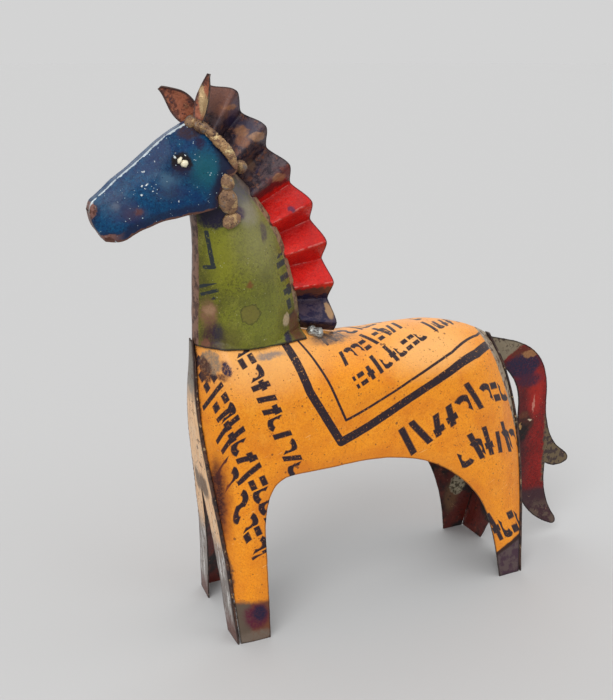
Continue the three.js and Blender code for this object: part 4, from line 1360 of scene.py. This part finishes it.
def tail_paint():
    coat = Finish("red_painted_tail", (132, 16, 12), 0.42)
    coat.ragged = coat.shaken(coat.place, 0.3, 2.2)
    rough_x, rough_z = coat.parts(coat.ragged)[::2]
    coat.weather((52, 8, 12), (164, 34, 22), 6, 1.4)
    coat.grain((46, 8, 12), (178, 60, 44), 19, 0.4)
    coat.blots(
        ((176, 36, 22), (71, 0, 62), (3.4, 4, 9), 0.6, 0.6),
        ((56, 18, 24), (65.4, 0, 42), (4.2, 4, 22), 0.8, 0.8))
    coat.burn(
        ((92, 40, 28), (64, 0, 79), (6, 4, 2.6), 0.3),
        (BURNT_NAVY, (64, 0, 73.5), (8, 4, 4.6), 0.2),
        ((64, 26, 50), (67, 0, 67.6), (6, 4, 2.6), 0.5))
    root = coat.ramp(coat.math("MULTIPLY_ADD", rough_x, -0.62, rough_z), 42.4, 43.4)
    coat.over((130, 118, 98), root, 0.45, 0.3)
    coat.over((70, 56, 48), coat.both(root, coat.cloud(0.5, 0.54, 0.6, 9, BROKEN)), 0.5, 0.2)
    coat.burn(
        ((150, 106, 68), (67, 0, 78.2), (3.6, 4, 1.5), 0.2),
        ((62, 32, 24), (67, 0, 50), (4.2, 4, 4.6), 0.25),
        (SOOT, (66.4, 0, 46), (3.0, 4, 3.4), 0.3),
        ((96, 50, 34), (66.6, 0, 53.4), (2.6, 4, 1.4), 0.4),
        ((216, 196, 168), (69.8, 0, 51.2), (0.8, 3, 0.5), 0.3),
        ((184, 140, 84), (65.4, 0, 49), (0.5, 3, 1.3), 0.3))
    coat.blots(((190, 124, 108), (70.8, 0, 57), (0.4, 3, 3.4), 0.3, 0.8, 0.45))
    barb = coat.ramp(coat.math("MULTIPLY_ADD", coat.noise(0.4), 3.0, coat.x), 78, 79.4)
    barb = coat.both(barb, coat.ramp(coat.z, 23, 25))
    coat.over((106, 90, 68), barb, 0.45, 0.3)
    coat.over((66, 52, 50), coat.both(barb, coat.cloud(0.5, 0.46, 0.56, 12)), 0.45, 0.3)
    coat.over((66, 40, 46), coat.ramp(rough_z, 23, 19.5), 0.42, 0.3)
    ashes = coat.both(coat.ramp(rough_z, 18, 12), coat.cloud(0.4, 0.44, 0.56, 4, BROKEN))
    coat.over((98, 80, 70), ashes, 0.42, 0.4)
    coat.speckles((SOOT, 1.2, 0.42, 3, 0.7), ((184, 140, 108), 1.2, 0.5, 5, 0.6))
    coat.scratches(((186, 92, 84), 80, 6, 0.5))
    coat.over(SOOT, coat.ramp(coat.value("rim"), 0.7, 0.2), 0.6, amount=0.75)
    coat.raise_by(0.5, 0.9, CLOUDY)
    return coat.done(gloss=0.12, gloss_rough=0.2, bump=0.35, shine=0.2)


def rusty_tin():
    coat = clouded("rusty_ear_tin", (158, 90, 62), 0.46, 0.15, (
        ((96, 50, 38), 0.35, 0.46, 0.58, 0, BROKEN, 0.5, 0.2),
        ((170, 116, 84), 0.45, 0.54, 0.64, 1, BROKEN, 0.45, 0.4, 0.8)), 0.9)
    coat.over((50, 30, 32), coat.ramp(coat.value("rim"), 0.8, 0.3), 0.5, 0.2, 0.8)
    coat.over((52, 30, 40), coat.cloud(0.6, 0.6, 0.66, 3), 0.5, 0.2, 0.8)
    coat.ragged = coat.shaken(coat.place, 0.5, 0.8)
    # A brassy strip along the near ear's edge, partly brass and partly a painted highlight.
    coat.over((186, 160, 118), coat.spot((-57.6, -5, 172), (0.9, 4, 4.6), 0.3), 0.42, 0.6, 0.9)
    coat.speckles((SOOT, 1.3, 0.42, 2, 0.6))
    return coat.done(bump=0.4)


def golden_braze():
    coat = clouded("golden_braze", (160, 124, 84), 0.42, 0.35, (
        ((112, 80, 58), 0.6, 0.47, 0.58, 0, GRAINY, 0.5, 0.3),
        ((222, 200, 146), 0.4, 0.5, 0.64, 1, BROKEN, 0.35, 0.45, 0.8),
        ((64, 42, 36), 1.4, 0.6, 0.66, 2, CLOUDY, 0.6, 0.2, 0.9)), 1.6)
    ends = coat.add(coat.ramp(coat.z, 162.2, 164.0), coat.ramp(coat.z, 155.6, 153.8))
    coat.over((122, 84, 66), ends, 0.5, 0.35, 0.8)
    return coat.done(bump=0.5)


edge = clouded("bare_cut_edge", (74, 56, 48), 0.5, 0.3, (
    ((46, 30, 26), 0.5, 0.42, 0.56, 0, SMOOTH, 0.7, 0.2),
    ((140, 124, 108), 0.35, 0.66, 0.72, 2, SMOOTH, 0.4, 0.6))).done()
inside = maroon_inside()
orange = orange_print()
tin = bare_tin()
dark_red = burnt_red()
blue = blue_enamel()
green = green_print()
pleat_red = mane_paint()
tail_red = tail_paint()
rust = rusty_tin()
brass = golden_braze()
copper = clouded("copper_braze", (136, 103, 74), 0.48, 0.3, (
    ((98, 70, 54), 0.4, 0.46, 0.58, 0, GRAINY, 0.5, 0.3, 0.8),
    ((184, 152, 104), 0.45, 0.5, 0.62, 1, BROKEN, 0.38, 0.35, 0.75),
    ((118, 114, 112), 0.4, 0.58, 0.66, 5, CLOUDY, 0.42, 0.5, 0.7),
    ((48, 32, 34), 1.3, 0.6, 0.66, 2, CLOUDY, 0.6, 0.2, 0.9)), 1.6).done(bump=0.5)
sooty = clouded("sooty_braze", (84, 56, 44), 0.55, 0.35, (
    ((38, 24, 24), 0.3, 0.44, 0.56, 0, CLOUDY, 0.6, 0.2),
    ((160, 134, 100), 0.6, 0.6, 0.66, 1, CLOUDY, 0.42, 0.6)), 1.6).done(bump=0.5)
silver = clouded("bright_solder", (164, 166, 162), 0.32, 0.8, (
    ((84, 80, 78), 0.7, 0.5, 0.6, 0, CLOUDY, 0.45, 0.6),
    ((120, 92, 66), 0.5, 0.6, 0.66, 2, CLOUDY, 0.5, 0.3)), 1.2, (4, 0.55)).done(bump=0.5)
cream = clouded("cream_weld_dot", (236, 226, 196), 0.3, 0.1, (
    ((140, 122, 92), 1.2, 0.58, 0.7, 0, SMOOTH, 0.4, 0.4),), 1.5, SMOOTH).done(gloss=0.4)

# ---------------------------------------------------------------- the horse
LAID_BRAZE = braze_tree()

body, body_plan = make_body([orange, inside, edge])
add_piece(body, "orange_print", "body")
outer_points = body_plan.points + body_plan.data[:, 3:6] * TIN / 2
body_tree = BVHTree.FromPolygons([tuple(p) for p in outer_points], body_plan.faces)

chest = make_end_plate(
    "chest_strip", end_plate_surface(chest_x, chest_half, CHEST_TOP, -0.5),
    FORK_HALF, CHEST_FORK_HEIGHT, False, [tin, inside, edge])
add_piece(chest, "bare_tin", "chest_plate")
rump = make_end_plate(
    "rump_strip", end_plate_surface(rump_x, rump_half, RUMP_TOP, 0.5),
    RUMP_FORK_HALF, RUMP_FORK_HEIGHT, True, [dark_red, inside, edge])
add_piece(rump, "burnt_red", "rump_plate")

head = make_head([blue, inside, edge])
add_piece(head, "blue_enamel", "head")
neck = make_neck(body_tree, [green, inside, edge])
add_piece(neck, "green_paint", "neck")
mane = make_mane(body_tree, [pleat_red, pleat_red, edge])
add_piece(mane, "red_paint", "mane")
tail = make_tail([tail_red, tail_red, edge])
add_piece(tail, "red_paint", "tail")

left_ear = make_ear(
    "ear_leaf_left",
    ear_surface((-58.0, -3.6, 166.0), (-55.6, -4.6, 179.2), (-0.8, -0.45, 0.2), 5.4, 1.4, -0.5, 0.0),
    21, [rust, rust, edge])
add_piece(left_ear, "rusted_tin", "ear_left")
right_ear = make_ear(
    "ear_leaf_right",
    ear_surface((-58.4, 3.6, 166.0), (-65.4, 4.4, 176.8), (-0.55, -0.8, 0.2), 7.6, 1.2, 0.8, -2.4),
    23, [rust, rust, edge])
add_piece(right_ear, "rusted_tin", "ear_right")

HEAD_ARC = [(-58.4, -3.8, 165.2), (-55, -6.6, 161.6), (-51.6, -8.6, 157.4), (-49.6, -9.2, 152.8)]
JAW_DABS = [[(-53.3, -9.5, 151.6), (-52.3, -9.6, 146.4)], [(-54.4, -9.7, 136.8), (-49.0, -9.8, 139.4)]]
JAW_WIDE_DAB = [(-53.6, -9.5, 147.6), (-51.6, -9.6, 139.8)]
EYE_DOTS = [[(-65.0, -7.3, 155.9), (-64.2, -7.4, 153.9)], [(-66.4, -7.0, 156.2), (-65.3, -7.1, 155.6)]]
CREST_LUMP = [(-48.4, -6.6, 154.6), (-45.8, -5.0, 151.4)]
CHEST_SEAM = [
    (float(chest_x(z)) + 0.35, -float(chest_half(z)) + 0.1, z) for z in np.linspace(1.2, 96, 12)]
RUMP_SEAM = [
    (float(rump_x(z)) - 0.35, -float(rump_half(z)) + 0.1, z) for z in np.linspace(1.2, 85, 12)]
POLL_LUMPS = (
    ([(-62.6, -1.4, 165.2), (-58.6, -3.0, 166.2)], 1.7),
    ([(-60.4, -3.6, 165.8), (-56.0, -4.8, 163.4)], 1.8),
    ([(-61.2, 1.8, 165.9), (-56.8, 3.2, 166.3)], 1.5),
    ([(-57.4, -5.2, 164.4), (-54.6, -6.8, 161.6)], 1.3))
WITHERS_LUMP = [(-24.5, -2.6, 99.4), (-22.4, -4.4, 98.6), (-19.6, -4.8, 97.6)]
# On each side: name, lines, radius, metal, then dab length and depth, roughness, lump size and seed,
# how flat it is pressed, the slot and the piece of the solids that it stands for.
SIDE_BRAZE = (
    ("braze_arc", [HEAD_ARC], 1.6, brass, (1.0, 0.07, 0.5, 2.0, 1), 0.6, "brass_braze", "braze_head"),
    ("braze_jaw_dabs", JAW_DABS, 2.2, copper, (20, 0, 0.9, 1.8, 2), 0.5, "brass_braze", "braze_jaw"),
    ("braze_wide_dab", [JAW_WIDE_DAB], 3.0, copper, (20, 0, 1.1, 2.4, 3), 0.42, "brass_braze", None),
    ("eye_dot", EYE_DOTS, 1.15, cream, (9, 0, 0.4, 1.2, 1), 0.8, "weld_dot", "eye"),
    ("crest_lump", [CREST_LUMP], 1.9, copper, (9, 0, 0.8, 2.0, 5), None, "brass_braze", None),
    ("chest_seam", [CHEST_SEAM], 0.55, sooty, (2.3, 0.12, 0.45, 1.6, 6), None, "brass_braze", None),
    ("rump_seam", [RUMP_SEAM], 0.42, sooty, (2.6, 0.05, 0.3, 1.6, 7), None, "brass_braze", None))

for side, out in (("left", (-0.25, -1, 0.2)), ("right", (-0.25, 1, 0.2))):
    for name, lines, radius, metal, how, pressed, slot, node in SIDE_BRAZE:
        lines = mirrored(lines) if side == "right" else lines
        press = (out, pressed) if pressed else None
        run = lay_braze(f"{name}_{side}", lines, radius, metal, *how, press)
        add_piece(run, slot, *([f"{node}_{side}"] if node else []))
for count, (line, radius) in enumerate(POLL_LUMPS):
    lump = lay_braze(f"poll_lump_{count}", [line], radius, copper, 9, 0, 0.9, 1.8, 8 + count)
    add_piece(lump, "brass_braze")
withers = lay_braze("solder_lump", [WITHERS_LUMP], 2.0, silver, 3, 0.2, 1.2, 2.4, 4)
add_piece(withers, "solder", "solder_withers")

# ---------------------------------------------------------------- studio and camera
FLOOR_GREY = 0.50        # share of light that the paper floor gives back
ROOM_LOW = 0.652         # brightness of the room at the horizon, as bright as the lit floor
ROOM_HIGH = 0.95         # brightness overhead
FLOOR_REACH = 8.0        # metres
CAMERA_PLACE = (-0.14138, -0.2685, 0.1884)
CAMERA_LENS = 48.343     # mm
CAMERA_DOWN = 18.28      # degrees that it looks down
CAMERA_TURN = 23.88      # degrees that it is turned to the horse's rear


def make_studio():
    """A round pale floor so wide that its edge melts into the room."""
    sides = 96
    rings = (0.35, 1.0, 3.0, FLOOR_REACH)
    points = []
    for radius in rings:
        for k in range(sides):
            angle = 2 * math.pi * k / sides
            points.append((radius * math.cos(angle), radius * math.sin(angle), 0))
    faces = [tuple(range(sides))]
    for ring in range(len(rings) - 1):
        inner = ring * sides
        outer = inner + sides
        for k in range(sides):
            after = (k + 1) % sides
            faces.append((inner + k, outer + k, outer + after, inner + after))
    mesh = bpy.data.meshes.new("studio_floor")
    mesh.from_pydata(points, [], faces)
    paper = bpy.data.materials.new("pale_paper")
    paper.use_nodes = True
    shader = paper.node_tree.nodes["Principled BSDF"]
    grey = (FLOOR_GREY, FLOOR_GREY, FLOOR_GREY, 1)
    for socket, value in (("Base Color", grey), ("Roughness", 1.0), ("Specular IOR Level", 0.0)):
        shader.inputs[socket].default_value = value
    mesh.materials.append(paper)
    made = bpy.data.objects.new("studio_floor", mesh)
    bpy.context.scene.collection.objects.link(made)


def make_room():
    """Even light all round, a little stronger from above."""
    world = bpy.data.worlds.new("soft_room")
    world.use_nodes = True
    room = Nodes(world.node_tree)
    height = room.parts(room.node("ShaderNodeTexCoord", output="Generated"))[2]
    light = room.node(
        "ShaderNodeMapRange", {0: height, 1: 0.1, 2: 0.8, 3: ROOM_LOW, 4: ROOM_HIGH},
        interpolation_type="SMOOTHSTEP")
    sky = world.node_tree.nodes["Background"]
    room.put(sky.inputs["Strength"], light)
    room.put(sky.inputs["Color"], (1, 1, 1, 1))
    bpy.context.scene.world = world


def make_sun(name, place, spread, strength):
    """A distant lamp shining from the given side; spread is how wide it looks, in degrees."""
    lamp = bpy.data.lights.new(name, "SUN")
    lamp.angle = math.radians(spread)
    lamp.energy = strength
    made = bpy.data.objects.new(name, lamp)
    made.location = place
    made.rotation_euler = Vector(place).to_track_quat("Z", "Y").to_euler()
    bpy.context.scene.collection.objects.link(made)


def make_camera():
    camera = bpy.data.cameras.new("camera")
    camera.sensor_width = 36
    camera.lens = CAMERA_LENS
    camera.clip_start = 0.01
    made = bpy.data.objects.new("camera", camera)
    made.location = CAMERA_PLACE
    made.rotation_euler = (math.radians(90 - CAMERA_DOWN), 0, math.radians(-CAMERA_TURN))
    bpy.context.scene.collection.objects.link(made)
    bpy.context.scene.camera = made


make_studio()
make_room()
make_sun("key", (-0.7, -0.7, 0.9), 35, 1.25)
make_sun("fill", (0.8, -0.5, 0.6), 60, 0.35)
make_sun("back", (0.3, 0.9, 0.7), 60, 0.45)
bpy.context.scene.view_settings.view_transform = "Standard"
make_camera()
